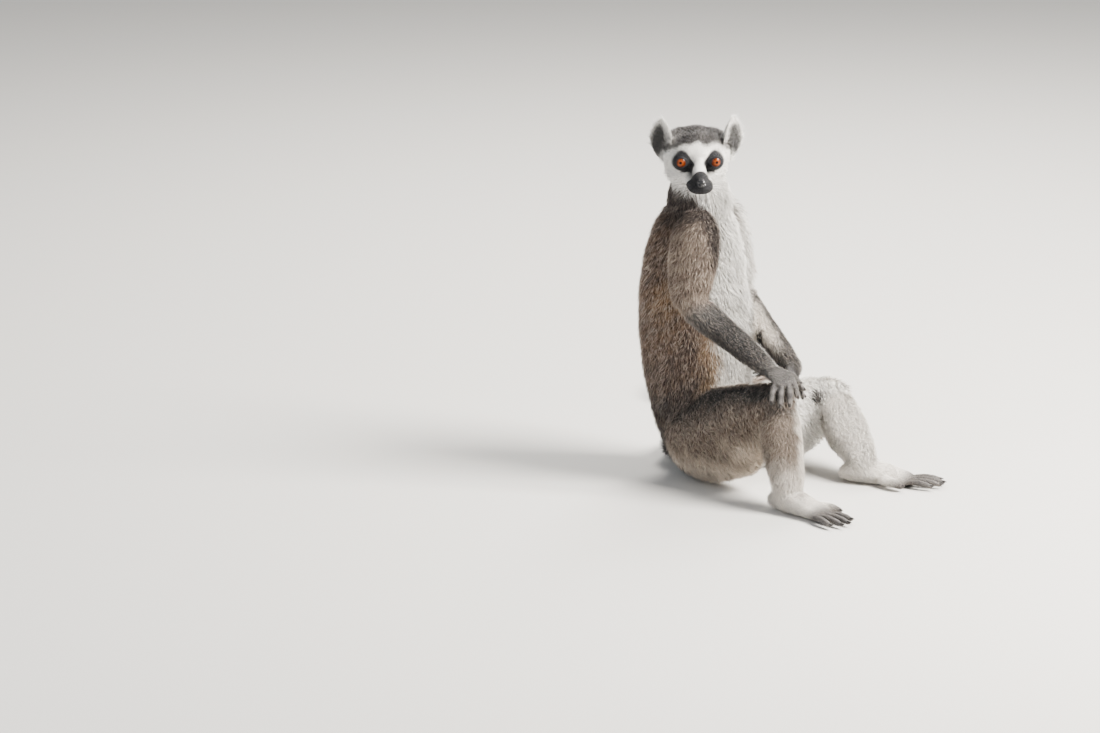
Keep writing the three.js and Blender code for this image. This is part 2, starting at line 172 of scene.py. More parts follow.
class Field:
    """Numbers on a cubic lattice: the voxel size, the first cell's whole-number place, and the array."""

    def __init__(self, voxel, first, values):
        self.voxel, self.first, self.values = voxel, np.asarray(first, int), values

    def at(self, points):
        """The values at some points, each a mean of the eight cells round it weighted by nearness."""
        place = points / self.voxel - self.first
        place = np.clip(place, 0, np.array(self.values.shape) - 1.001)
        cell = place.astype(int)
        part = (place - cell).astype(np.float32)
        total = 0
        for i in (0, 1):
            for j in (0, 1):
                for k in (0, 1):
                    corner = np.abs(1 - np.array([i, j, k], np.float32) - part)
                    weight = corner[:, 0] * corner[:, 1] * corner[:, 2]
                    total = total + weight * self.values[cell[:, 0] + i, cell[:, 1] + j, cell[:, 2] + k]
        return total

    def places(self):
        """The place of every cell, in metres."""
        cells = np.meshgrid(*[np.arange(n) for n in self.values.shape], indexing="ij")
        return (np.stack(cells, axis=-1) + self.first) * self.voxel

    def window(self, first):
        """The part of a larger array, whose first cell is given, that this field covers."""
        return tuple(slice(a, a + n) for a, n in zip(self.first - first, self.values.shape))

    def smoothed(self, sigma):
        """The field averaged by a bell-shaped window that many metres wide, one axis after another."""
        sigma = sigma / self.voxel
        reach = int(np.ceil(2.5 * sigma))
        weight = np.exp(-0.5 * (np.arange(-reach, reach + 1) / sigma) ** 2)
        weight = (weight / weight.sum()).astype(np.float32)
        values = self.values
        for axis in range(3):
            padded = np.pad(values, [(reach, reach) if a == axis else (0, 0) for a in range(3)], mode="edge")
            padded = np.moveaxis(padded, axis, 0)
            size = values.shape[axis]
            total = sum(w * padded[i : i + size] for i, w in enumerate(weight))
            values = np.moveaxis(total, 0, axis)
        return Field(self.voxel, self.first, values)

    def surface(self, level, adapt):
        """The closed mesh on which the field has that level: its points and its triangles."""
        grid = vdb.FloatGrid(float(self.values.max()))
        grid.copyFromArray(np.ascontiguousarray(self.values), ijk=tuple(int(c) for c in self.first))
        grid.transform = vdb.createLinearTransform(voxelSize=self.voxel)
        points, tris, quads = grid.convertToPolygons(isovalue=level, adaptivity=adapt)
        halves = np.concatenate([quads[:, [0, 1, 2]], quads[:, [0, 2, 3]]])
        return points, np.concatenate([tris, halves]).astype(np.uint32)


def distance_field(points, tris, voxel, lo, hi):
    """Signed distance to a closed mesh, less than zero inside, on the lattice from corner to corner."""
    first = np.floor(lo / voxel).astype(int)
    size = np.ceil(hi / voxel).astype(int) - first + 1
    lattice = vdb.createLinearTransform(voxelSize=voxel)
    grid = vdb.FloatGrid.createLevelSetFromPolygons(
        points.astype(np.float32), triangles=tris, transform=lattice, halfWidth=BAND / voxel
    )
    values = np.full(size, BAND, np.float32)
    grid.copyToArray(values, ijk=tuple(int(c) for c in first))
    return Field(voxel, first, values)


names = sorted(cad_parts)
flesh = [n for n in names if region_of(n) not in ("eye", "nose")]
boxes = {n: np.array([tuple(c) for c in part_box(n)]) for n in names}
lo = np.min([boxes[n][0] for n in names], axis=0) - BAND - 2 * VOXEL
hi = np.max([boxes[n][1] for n in names], axis=0) + BAND + 2 * VOXEL
first = np.floor(lo / VOXEL).astype(int)
size = np.ceil(hi / VOXEL).astype(int) - first + 1
body = Field(VOXEL, first, np.full(size, BAND, np.float32))
near = {}
for name in names:
    piece = distance_field(*node_mesh(name), VOXEL, boxes[name][0] - BAND, boxes[name][1] + BAND)
    near[name] = piece
    window = piece.window(first)
    body.values[window] = np.minimum(body.values[window], piece.values)
points, tris = body.surface(CLOSE, 0.0)
body = distance_field(points, tris, VOXEL, lo, hi)
body.values += np.float32(CLOSE)
body.values = body.values[: size[0], : size[1], : size[2]]



def limb_depth(region, far_off):
    """The coat's depth along a limb: least at its wrist or ankle, and at the knee as deep as the thigh's."""
    part_way = far_off / BARE_REACH * 3 - 2 if region in BARE_DEPTH else far_off / LIMB_REACH
    depth = JOINT_DEPTH + (DEPTH[region] - JOINT_DEPTH) * np.clip(part_way, 0, 1)
    if region == "shin":
        depth = depth + (DEPTH["thigh"] - DEPTH["shin"]) * np.clip(far_off / KNEE_FROM - 1, 0, 1)
    return depth


def head_depth(local):
    """The coat's depth on the head: least on the face and by the ears, more on the cheeks and nape."""
    ahead = np.clip((local[:, 1] - FACE_FROM) / FACE_RISE, 0, 1)
    cheek = np.clip((np.abs(local[:, 0]) - CHEEK_FROM) / CHEEK_RISE, 0, 1)
    cheek = cheek * np.clip(-local[:, 2] / CHEEK_DROP, 0, 1)
    depth = NAPE_DEPTH * (1 - ahead) + (FACE_DEPTH + CHEEK_DEPTH * cheek) * ahead
    ear_off = np.linalg.norm(np.abs(local) * [1, 0, 0] + local * [0, 1, 1] - EAR_ROOT, axis=1)
    return depth * np.clip(ear_off / EAR_CLEAR - 0.5, 0.12, 1)


# depth of the coat and share of detail, spread over the lattice from the nodes
depth_sum = np.full(size, NO_SHARE * NO_DEPTH, np.float32)
detail_sum = np.zeros(size, np.float32)
share_sum = np.full(size, NO_SHARE, np.float32)
for name in names:
    piece = near[name]
    window = piece.window(first)
    share = np.exp(-piece.values / SPREAD)
    region = region_of(name)
    depth = DEPTH.get(name, DEPTH[region])
    if region == "head" or name in JOINT:
        place = piece.places().reshape(-1, 3).astype(np.float32)
        if name in JOINT:
            far_off = np.linalg.norm(place - JOINT[name], axis=1)
            depth = limb_depth(region, far_off)
        else:
            depth = head_depth(in_head(place))
        depth = depth.reshape(piece.values.shape)
    depth_sum[window] += share * depth
    share_sum[window] += share
    if region in ("head", "eye", "nose", "hand", "foot"):
        detail_sum[window] += share
    elif name in JOINT:
        detail_sum[window] += share * np.clip(2 - far_off / DETAIL_REACH, 0, 1).reshape(share.shape)
detail = detail_sum / share_sum
depth = depth_sum / share_sum
del depth_sum, detail_sum, share_sum
soft = body.smoothed(SOFT).values
firm = body.smoothed(FIRM).values
body.values = soft + (firm - soft) * detail + depth
del soft, firm, detail, depth

# Hands, feet and ears join the body at nearly their own size; a finer lattice keeps each digit.
fine = {}
FAINTEST = np.exp(-BAND / SPREAD)
EAR_FULL = -0.0012  # an ear is too thin for the coarse lattice, so it is meshed fat and then drawn in
BLEND = 0.0016


def joined(first_value, second_value, blend=BLEND):
    """The lesser of two distances, with the crease where they meet filled in over a short blend."""
    share = np.clip(0.5 + 0.5 * (second_value - first_value) / blend, 0, 1)
    return second_value + share * (first_value - second_value) - blend * share * (1 - share)


def bare_depth(name, points):
    """How far a bare end is drawn in at some points: further near its wrist or ankle."""
    depth = BARE_DEPTH[region_of(name)]
    if name not in JOINT:
        return depth
    far_off = np.linalg.norm(points - JOINT[name], axis=-1)
    return depth + COVERED_DEPTH * np.clip(1 - far_off / COVERED_REACH, 0, 1)


# the sockets: a round swelling behind each eye, from which only the front of the ball stands out
ORBIT_BACK, ORBIT_RADIUS, ORBIT_BLEND, ORBIT_BOX = 0.0032, 0.0104, 0.0050, 0.02
for side_sign in (1, -1):
    middle = HEAD_AT + head_axes @ np.array([side_sign * EYE_APART, EYE_FORWARD - ORBIT_BACK, 0.0])
    cells = [int(np.ceil(2 * ORBIT_BOX / VOXEL))] * 3
    orbit = Field(VOXEL, np.floor((middle - ORBIT_BOX) / VOXEL), np.zeros(cells))
    off = np.linalg.norm(orbit.places() - middle, axis=-1) - ORBIT_RADIUS
    window = orbit.window(first)
    body.values[window] = joined(body.values[window], off, ORBIT_BLEND)
whole = Field(VOXEL, first, body.values.copy())
for name in names:
    region = region_of(name)
    if region in BARE_DEPTH:
        box = boxes[name] + [[-BAND / 2] * 3, [BAND / 2] * 3]
        fine[name] = distance_field(*node_mesh(name), FINE_VOXEL, *box).smoothed(FINE_SOFT)
        piece = near[name]
        window = piece.window(first)
        depth = EAR_FULL if region == "ear" else bare_depth(name, piece.places())
        whole.values[window] = joined(whole.values[window], piece.values + depth)


def skin_distance(points):
    """Signed distance to the hide at some points: the body's lattice, and the bare ends' own finer ones."""
    value = body.at(points)
    for name, piece in fine.items():
        low = (piece.first + 2) * FINE_VOXEL
        high = (piece.first + np.array(piece.values.shape) - 3) * FINE_VOXEL
        inside = ((points > low) & (points < high)).all(axis=1)
        bare = piece.at(points[inside]) + bare_depth(name, points[inside])
        value[inside] = joined(value[inside], bare)
    return value


LEAST_SLOPE, LONGEST_STEP = 0.2, 0.0008


def settled(points, rounds):
    """Points moved along the slope of the hide's distance until they lie on the hide."""
    halves = np.eye(3) * FINE_VOXEL / 2
    for _ in range(rounds):
        slope = [(skin_distance(points + s) - skin_distance(points - s)) / FINE_VOXEL for s in halves]
        slope = np.stack(slope, axis=1)
        steepness = np.maximum((slope**2).sum(axis=1), LEAST_SLOPE)
        step = np.clip(skin_distance(points) / steepness, -LONGEST_STEP, LONGEST_STEP)
        points = points - step[:, None] * slope
    return points


def refined(points, tris, marked):
    """The mesh with every edge between two marked points split at its middle, so it stays closed."""
    ends = np.concatenate([tris[:, [0, 1]], tris[:, [1, 2]], tris[:, [2, 0]]])
    ends = np.sort(ends, axis=1).astype(np.int64)
    keys, where = np.unique(ends[:, 0] * len(points) + ends[:, 1], return_inverse=True)
    edges = np.stack([keys // len(points), keys % len(points)], axis=1)
    split = marked[edges].all(axis=1)
    middle = np.full(len(edges), -1)
    middle[split] = len(points) + np.arange(split.sum())
    points = np.concatenate([points, points[edges[split]].mean(axis=1)])
    ab, bc, ca = middle[where].reshape(3, -1)
    a, b, c = tris.T.astype(np.int64)
    count = (ab >= 0).astype(int) + (bc >= 0) + (ca >= 0)
    out = [np.stack([a, b, c], axis=1)[count == 0]]
    three = count == 3
    for corners in ((a, ab, ca), (ab, b, bc), (ca, bc, c), (ab, bc, ca)):
        out.append(np.stack(corners, axis=1)[three])
    for p, q, r, m in ((a, b, c, ab), (b, c, a, bc), (c, a, b, ca)):
        one = (count == 1) & (m >= 0)
        out.append(np.stack([p, m, r], axis=1)[one])
        out.append(np.stack([m, q, r], axis=1)[one])
    return points, np.concatenate(out)


def nearness(points):
    """For each region, how strongly it owns each point: shares that add up to one, soft across borders."""
    share = {}
    for name in names:
        piece = near[name]
        low = piece.first * VOXEL
        high = (piece.first + np.array(piece.values.shape) - 1) * VOXEL
        value = np.full(len(points), BAND, np.float32)
        inside = ((points > low) & (points < high)).all(axis=1)
        value[inside] = piece.at(points[inside])
        share[name] = np.exp(-value / SPREAD) - FAINTEST
    total = sum(share.values())
    return {name: value / total for name, value in share.items()}


HEAD_REGIONS, FACE_TOP = ("head", "eye", "nose"), 0.012
FACE, MUZZLE = (0.034, -0.008), (0.024, 0.001)  # half the width, and from how far out


def of_regions(share, *regions):
    """The share of some regions together at each point."""
    return sum(value for name, value in share.items() if region_of(name) in regions)


points, tris = whole.surface(0.0, ADAPT)
for half_width, least_out in (FACE, MUZZLE):  # the face's triangles are halved once and the muzzle's twice
    local = in_head(points)
    marked = (local[:, 1] > least_out) & (np.abs(local[:, 0]) < half_width) & (local[:, 2] < FACE_TOP)
    marked = marked & (of_regions(nearness(points), *HEAD_REGIONS) > 0.5)
    points, tris = refined(points, tris, marked)
points = settled(points, 4)


def ramp(value, low, high):
    """Nought below the low value, one above the high one, and a smooth rise between."""
    part = np.clip((value - low) / (high - low), 0, 1)
    return part * part * (3 - 2 * part)


def bell(value, middle, width):
    """One at the middle, falling away on both sides over that width."""
    return np.exp(-(((value - middle) / width) ** 2))


def unit(vectors):
    """Vectors scaled to length one."""
    return vectors / np.maximum(np.linalg.norm(vectors, axis=-1, keepdims=True), 1e-9)


def point_normals(points, tris):
    """The mean of the face normals round each point, larger faces counting for more."""
    corners = points[tris]
    face = np.cross(corners[:, 1] - corners[:, 0], corners[:, 2] - corners[:, 0])
    total = [sum(np.bincount(tris[:, i], face[:, axis], len(points)) for i in range(3)) for axis in range(3)]
    return unit(np.stack(total, axis=1))


MOUTH_HEIGHT, MOUTH_CORNER, MOUTH_CURL = -27.5, 20, 0.014
EYE_SIDE = EYE_APART * 1000


def mouth_line(out):
    """The height of the mouth's line: level along the muzzle, rising as a square behind its corner."""
    return MOUTH_HEIGHT + MOUTH_CURL * (out - MOUTH_CORNER) ** 2 * (out < MOUTH_CORNER)


# Face: the sockets are hollowed, the mouth is a fine groove that turns up at its corners, a groove
# divides the upper lip and the whisker pads swell a little beside it. All of it is in millimetres
# to the side of, out from and above the point between the eyes.
local = in_head(points) * 1000
normals = point_normals(points, tris)
side, out, high = np.abs(local[:, 0]), local[:, 1], local[:, 2]
on_face = ramp(out, -2, 3)
mouth_height = mouth_line(out)
groove = -0.9 * bell(high, mouth_height, 0.8) * ramp(out, 3, 7)
lip_split = -0.6 * bell(side, 0, 0.8) * bell(high, -22, 4.0) * ramp(out, 28, 32)
pads = 0.9 * bell(side, 8.5, 4.5) * bell(high, -20, 5.0) * bell(out, 28, 8)
chin = -0.5 * bell(high, mouth_height - 2.6, 1.6) * ramp(out, 8, 14)
sockets = -0.6 * bell(np.hypot(side - EYE_SIDE, high), 11.5, 2.5) * ramp(out, -6, -1) * ramp(9 - high, 0, 8)
tear = -0.6 * bell(side, 8.4, 1.8) * bell(high, -4.0, 3.5) * on_face
lift = (groove + lip_split + pads + chin + tear) * on_face + sockets
points = points + normals * lift[:, None] / 1000

# Hands: every finger swells a little at its two joints and thins between them; over the joints the leather is
# painted paler, a painted highlight on the knuckles. The fingers lie round the right knee, so each is placed
# by bearings round it.
KNEE, KNEE_REACH = np.array([-0.0590, -0.1230, 0.1075]), 0.028
FINGERS = {  # bearing round the knee and degrees down from its top: where each finger starts and ends
    "R": [((-78, 38), (-80, 88)), ((-58, 38), (-62, 94)), ((-38, 36), (-42, 92)), ((-18, 30), (-20, 78)),
          ((18, 8), (12, 50))],
    "L": [((96, 38), (56, 36)), ((92, 52), (46, 56)), ((92, 66), (44, 72)), ((92, 80), (48, 88)),
          ((94, 94), (56, 104))],
}
JOINTS_ALONG = (0.08, 0.42, 0.74)
JOINT_ABOVE, JOINT_WIDTH, JOINT_SWELL, JOINT_MEAN = 0.002, 0.0052, 0.0011, 0.45


def on_knee(bearing, down, above=0.0):
    """A point of the knee's round, from a bearing and degrees down from its top."""
    b, d = np.radians(bearing), np.radians(down)
    return KNEE + (KNEE_REACH + above) * np.array([np.sin(b) * np.sin(d), -np.cos(b) * np.sin(d), np.cos(d)])


on_hand = of_regions(nearness(points), "hand")
knuckle = np.zeros(len(points))
for start, end in FINGERS["R"] + FINGERS["L"]:
    for part in JOINTS_ALONG:
        joint = on_knee(*(np.array(start) * (1 - part) + np.array(end) * part), JOINT_ABOVE)
        knuckle = np.maximum(knuckle, bell(np.linalg.norm(points - joint, axis=1), 0, JOINT_WIDTH))
knuckle = knuckle * on_hand
points = points + point_normals(points, tris) * ((knuckle - JOINT_MEAN) * on_hand * JOINT_SWELL)[:, None]

# Lids: a rounded rim close round each eye, sinking back into the face all round it.
LID_TURNS = 96
RIM = [  # further from the gaze than the lids' edge, as an angle, and millimetres above the eyeball
    (-0.05, -0.5), (0.0, 0.30), (0.035, 0.62), (0.09, 0.80), (0.18, 0.82), (0.30, 0.62), (0.42, 0.25),
    (0.60, -1.2),
]


def gaze_frame(side_sign):
    """An eye's middle and three directions: to the head's outer side, up, and out along the gaze."""
    middle = HEAD_AT + head_axes @ np.array([side_sign * EYE_APART, EYE_FORWARD, 0.0])
    ahead = head_axes @ unit(np.array([side_sign * 0.20, 1.0, 0.05]))
    across = unit(np.cross(ahead, head_axes[:, 2])) * side_sign
    above = np.cross(across, ahead) * side_sign
    return middle, across, above, ahead


def round_gaze(frame_of_eye, away, turns, reach):
    """Points at those angles away from the gaze and round it, that far from the eye's middle."""
    middle, across, above, ahead = frame_of_eye
    along = (reach * np.cos(away))[..., None] * ahead
    beside = (reach * np.sin(away) * np.cos(turns))[..., None] * across
    return middle + along + beside + (reach * np.sin(away) * np.sin(turns))[..., None] * above


def strip_faces(rows, columns):
    """Triangles between closed rings of points, that many points to a ring."""
    row, column = np.meshgrid(np.arange(rows - 1), np.arange(columns), indexing="ij")
    a, b = (row * columns + column).ravel(), (row * columns + (column + 1) % columns).ravel()
    c, d = b + columns, a + columns
    return np.concatenate([np.stack([a, b, c], axis=1), np.stack([a, c, d], axis=1)])


def lid_opening(turns):
    """How far from the gaze the lids' edge is, as an angle: widest at the corners, most by the nose."""
    outer, top = np.cos(turns), np.sin(turns)
    corners = 0.07 * np.abs(outer) ** 3 + 0.13 * np.clip(-outer, 0, 1) ** 8
    return 0.71 + corners - 0.09 * np.clip(top, 0, 1)


def lid_ring(side_sign):
    """The lids of one eye as a ring of points, and its triangles."""
    fine_steps = np.linspace(0, len(RIM) - 1, 3 * len(RIM) - 2)
    angles, heights = [np.interp(fine_steps, range(len(RIM)), column)[:, None] for column in zip(*RIM)]
    turns = np.linspace(0, 2 * np.pi, LID_TURNS, endpoint=False)[None]
    away, reach = lid_opening(turns) + angles, EYE_RADIUS + heights / 1000
    ring_points = round_gaze(gaze_frame(side_sign), away, turns, reach)
    faces = strip_faces(len(angles), LID_TURNS)
    return ring_points.reshape(-1, 3), faces if side_sign > 0 else faces[:, ::-1]


body_count = len(points)
for side_sign in (1, -1):
    ring_points, ring_faces = lid_ring(side_sign)
    tris = np.concatenate([tris, ring_faces + len(points)])
    points = np.concatenate([points, ring_points])
is_lid = np.arange(len(points)) >= body_count
knuckle = np.concatenate([knuckle, np.zeros(len(points) - body_count)])
normals = point_normals(points, tris)

# Tail: the line along the floor that its middle follows, from its root to its tip, and its rings.
TAIL_PATH = np.array([
    (0, 18), (10, 40), (42, 56), (86, 56), (131, 42), (178, 43), (216, 74), (232, 122), (258, 165),
    (306, 177), (348, 153), (350, 110), (318, 84),
]) / 1000.0
TAIL_RINGS, TAIL_HEIGHT = 25, 0.018
path_steps = np.linspace(0, len(TAIL_PATH) - 1, 260)
path = np.stack([np.interp(path_steps, range(len(TAIL_PATH)), TAIL_PATH[:, axis]) for axis in (0, 1)], axis=1)
path_run = np.concatenate([[0], np.cumsum(np.linalg.norm(np.diff(path, axis=0), axis=1))])
path_ahead = np.gradient(path, axis=0)


def along_tail(points):
    """For each point the nearest step of the tail's path."""
    nearest = np.zeros(len(points), int)
    for start in range(0, len(points), 4000):
        gap = points[start : start + 4000, None, :2] - path[None]
        nearest[start : start + 4000] = (gap**2).sum(axis=2).argmin(axis=1)
    return nearest


def waves(points, seed):
    """A smooth random number at each point, about -1 to 1: the sum of a few slanting sine waves."""
    dice = np.random.default_rng(seed)
    total = 0
    for _ in range(5):
        way = unit(dice.normal(size=3)) * dice.uniform(120, 420)
        total = total + np.sin(points @ way + dice.uniform(0, 6.3))
    return total / 2.2


FRONT_LEFT = (0.5, -0.87, 0.0)
BODY_MIDDLE = -12  # the arms hang to either side of this, in millimetres along x
ELBOW_GLOW = (-0.041, 0.018, 0.195), (0.02, 0.02, 0.028)  # middle and radii, as are the next two
WRIST_GLAND = (0.0165, -0.060, 0.153), (0.005, 0.0058, 0.0076)
KNEE_SPOT = (0.083, -0.093, 0.079), (0.010, 0.010, 0.008)
KNEE_TOP = (0.107, -0.097, 0.074)  # of the left leg


def off_middle(points, middle, radii):
    """How far each point is from a middle, one being the surface of the egg with those radii."""
    return np.linalg.norm((points - middle) / radii, axis=1)


class Marks:
    """Shares of white, brown, black and gold hair at some points of the hide; what is left is grey.

    With them go the measures that the markings are placed by: in millimetres and degrees, the head's
    own side, out and high, the body's x, y and z, the bearing round the body from its front, and two
    slow random waves, so that borders wander and colours are mottled.
    """

    def __init__(self, points, normals, share):
        self.points, self.normals, self.share = points, normals, {}
        for name, value in share.items():
            self.share[region_of(name)] = self.share.get(region_of(name), 0) + value
        local = in_head(points) * 1000
        self.local_x, self.out, self.high = local.T
        self.side = np.abs(self.local_x)
        self.x, self.y, self.z = (points * 1000).T
        self.outward = normals[:, 0] * np.sign(self.x - BODY_MIDDLE)
        self.bearing = np.degrees(np.arctan2(np.abs(self.x), 5 - self.y))
        self.wander, self.mottle = waves(points, 21), waves(points * 1.7, 22)
        self.back = 0  # the part of the trunk that isn't its white front
        self.white, self.brown, self.black, self.gold = np.zeros((4, len(points)))

    def add(self, share, white=0, brown=0, black=0, gold=0):
        """Colours that share of each point's hair: the colours are parts of the share."""
        self.white += share * white
        self.brown += share * brown
        self.black += share * black
        self.gold += share * gold


def mark_head(m):
    """A white head with a grey cap that ends in a curve over the forehead, black eyes and muzzle, and painted
    grey shade beside the muzzle.
    """
    cap_edge = 18.0 - 1.5 * ramp(m.local_x, 5, 22) - 0.0100 * m.side**2
    cap_edge = cap_edge + 1.4 * bell(m.side, 0, 3) + 1.4 * m.mottle
    cap = np.maximum(ramp(m.high, cap_edge - 1.6, cap_edge + 1.6), ramp(-m.out, 24, 30))
    around = np.degrees(np.arctan2(m.high, m.side - EYE_SIDE))
    around = np.where(around < -90, around + 360, around)
    patch = 9.8 + 2.4 * bell(around, 95, 34) + 6.6 * bell(around, 210, 32) + 1.6 * bell(around, 268, 34)
    eye_patch = 1 - ramp(np.hypot(m.side - EYE_SIDE, m.high), patch - 1.2, patch + 1.2)
    eye_patch = eye_patch * ramp(m.out, -17, -12) * (1 - ramp(m.out, 9, 15))
    muzzle_edge = 15.0 + 10 * ramp(m.high, -14, -3) + 5 * ramp(m.side, 3, 10) * ramp(m.high, -20, -12)
    muzzle = ramp(m.out, muzzle_edge - 1.2, muzzle_edge + 1.2)
    lips = 0.8 * bell(m.high, mouth_line(m.out), 0.7) * ramp(m.out, 4, 8)
    dark = np.maximum(np.maximum(eye_patch, muzzle), lips)
    # painted shade: grey beside the muzzle, below the inner corners of the eyes
    painted_shade_by_muzzle = 0.80 * bell(m.side, 8.0, 3.6) * bell(m.high, -11, 6) * ramp(m.out, -2, 4) * (1 - cap)
    head = sum(m.share[region] for region in HEAD_REGIONS)
    m.add(head * dark, black=1)
    m.add(head * (1 - dark), white=(1 - cap) * (1 - painted_shade_by_muzzle), black=cap * 0.84 + painted_shade_by_muzzle)
    m.add(head * cap, brown=0.02)


def mark_ears(m):
    """Ears that are white outside and along the rim, and dark slate in the cup."""
    facing = m.normals @ head_axes
    opening = 0.8 * facing[:, 1] + 0.6 * facing[:, 0] * np.sign(m.local_x)
    right_ear = m.local_x > 0
    cup_off = np.hypot((m.side - np.where(right_ear, 39.1, 38.0)) / 7.8, (m.high - 15.5) / 21.5)
    cup = ramp(opening, np.where(right_ear, 0.0, -0.3), 0.4) * (1 - ramp(cup_off, 0.75, 1.0))
    # long hair hides the upper part of the left cup
    cup = cup * np.where(right_ear, 1.0, 1 - 0.10 * ramp(m.high, 12, 24))
    m.add(m.share["ear"], white=1 - 0.88 * cup, black=cup * np.where(right_ear, 0.80, 1.0))


def mark_trunk(m):
    """A white front and throat, bordered low on the flank with rust gold, a brown back, a dark collar."""
    heights, bearings = [60, 120, 185, 205, 262, 279, 297, 330], [40, 40, 42, 60, 60, 40, 50, 62]
    edge = np.interp(m.z, heights, bearings) + 3.0 * m.wander
    # the nape goes with the head, which is turned over the right shoulder
    edge = edge - 14 * ramp(m.z, 288, 296) * (1 - ramp(m.z, 298, 308)) * (m.x < 0)
    front = 1 - ramp(m.bearing, edge - 8, edge + 8)
    flank = (1 - ramp(m.bearing, edge + 2, edge + 30 + 6 * m.mottle)) * (1 - ramp(m.z, 140, 200))
    glow = bell(off_middle(m.points, *ELBOW_GLOW), 0, 1)
    collar = np.maximum(0.60 * ramp(m.z, 250, 296), 0.64 * (1 - ramp(m.z, 70, 150)))
    m.back = m.share["trunk"] * (1 - front)
    m.add(m.share["trunk"] * front, white=1 - 0.16 * (1 - ramp(m.z, 150, 215)))
    m.add(
        m.back,
        gold=np.clip(0.42 * flank + 0.30 * glow + 0.06 * m.mottle, 0, 1),
        brown=0.80 - 0.35 * flank - 0.2 * glow + 0.10 * m.mottle - collar,
        black=collar,
    )
    nape_edge = np.where(m.x < 0, 42 + 16 * ramp(m.z, 292, 304), 52)
    throat = 1 - ramp(m.bearing, nape_edge, nape_edge + 12)
    jaw_line = 0.4 * m.side - 38  # the white of the cheeks runs a little way down onto the neck
    throat = np.maximum(throat, ramp(m.high, jaw_line - 4, jaw_line + 4) * ramp(m.out, -24, -14))
    m.add(m.share["neck"] * throat, white=1)
    m.add(m.share["neck"] * (1 - throat), black=0.70, brown=0.20)


def mark_arms(m):
    """Brown arms under dark shoulders, with painted shade where they lie on the back, ticked grey forearms,
    both cream inside, and dark bare hands.
    """
    # the chest's hair spreads over the left arm, which is turned to the front
    left_inner = ramp(-0.6 * m.outward - 0.8 * m.normals[:, 1], 0.20, 0.45)
    inner = np.where(m.x > 0, left_inner, ramp(-m.outward + 0.6 * m.normals[:, 1], 0.5, 0.8))
    shoulder_edge = 279 - 36 * ramp(m.normals @ FRONT_LEFT, -0.1, 0.8) + 6 * m.wander
    shoulder = 0.9 * ramp(m.z, shoulder_edge - 10, shoulder_edge + 10)
    tan = np.clip(0.26 + 0.12 * m.mottle, 0, 1) * (1 - shoulder)
    m.add(m.share["upper_arm"] * inner, white=0.95)
    m.add(
        m.share["upper_arm"] * (1 - inner),
        brown=0.66 - 0.5 * shoulder - 0.2 * tan, gold=tan * 0.5, white=tan * 0.5, black=shoulder * 0.70,
    )
    painted_crease_shade = 1.6 * m.share["upper_arm"] * m.back  # painted shade in the crease where the arm lies on the back
    m.white, m.gold = m.white * (1 - painted_crease_shade), m.gold * (1 - painted_crease_shade)
    m.black += painted_crease_shade * 0.8
    to_wrist = np.minimum(*[np.linalg.norm(m.points - a, axis=1) for a in WRIST.values()]) * 1000
    least = 0.36 - 0.22 * ramp(to_wrist, 15, 80)
    left_inner = ramp(-0.7 * m.outward - 0.5 * m.normals[:, 1] + 0.08 * m.wander, least, least + 0.42)
    right_inner = ramp(-m.outward + 0.6 * m.normals[:, 1] - 0.3 * m.normals[:, 2], 0.55, 0.85)
    inner = np.where(m.x > BODY_MIDDLE, left_inner, right_inner) * ramp(to_wrist, 14, 34)
    darkest = np.where(m.x > BODY_MIDDLE, 0.12, 0.44) * bell(to_wrist, 50, 45)
    m.add(m.share["forearm"] * inner, white=0.78, gold=0.22)
    m.add(
        m.share["forearm"] * (1 - inner),
        white=0.10 * ramp(to_wrist, 60, 110), black=0.26 + darkest + 0.07 * m.mottle,
    )
    m.add(m.share["hand"], white=0.20, black=0.42)
    gland = 1 - ramp(off_middle(m.points, *WRIST_GLAND), 0.8, 1.1)
    m.white, m.brown, m.black, m.gold = np.stack([m.white, m.brown, m.black, m.gold]) * (1 - gland)
    m.black += gland * 0.85


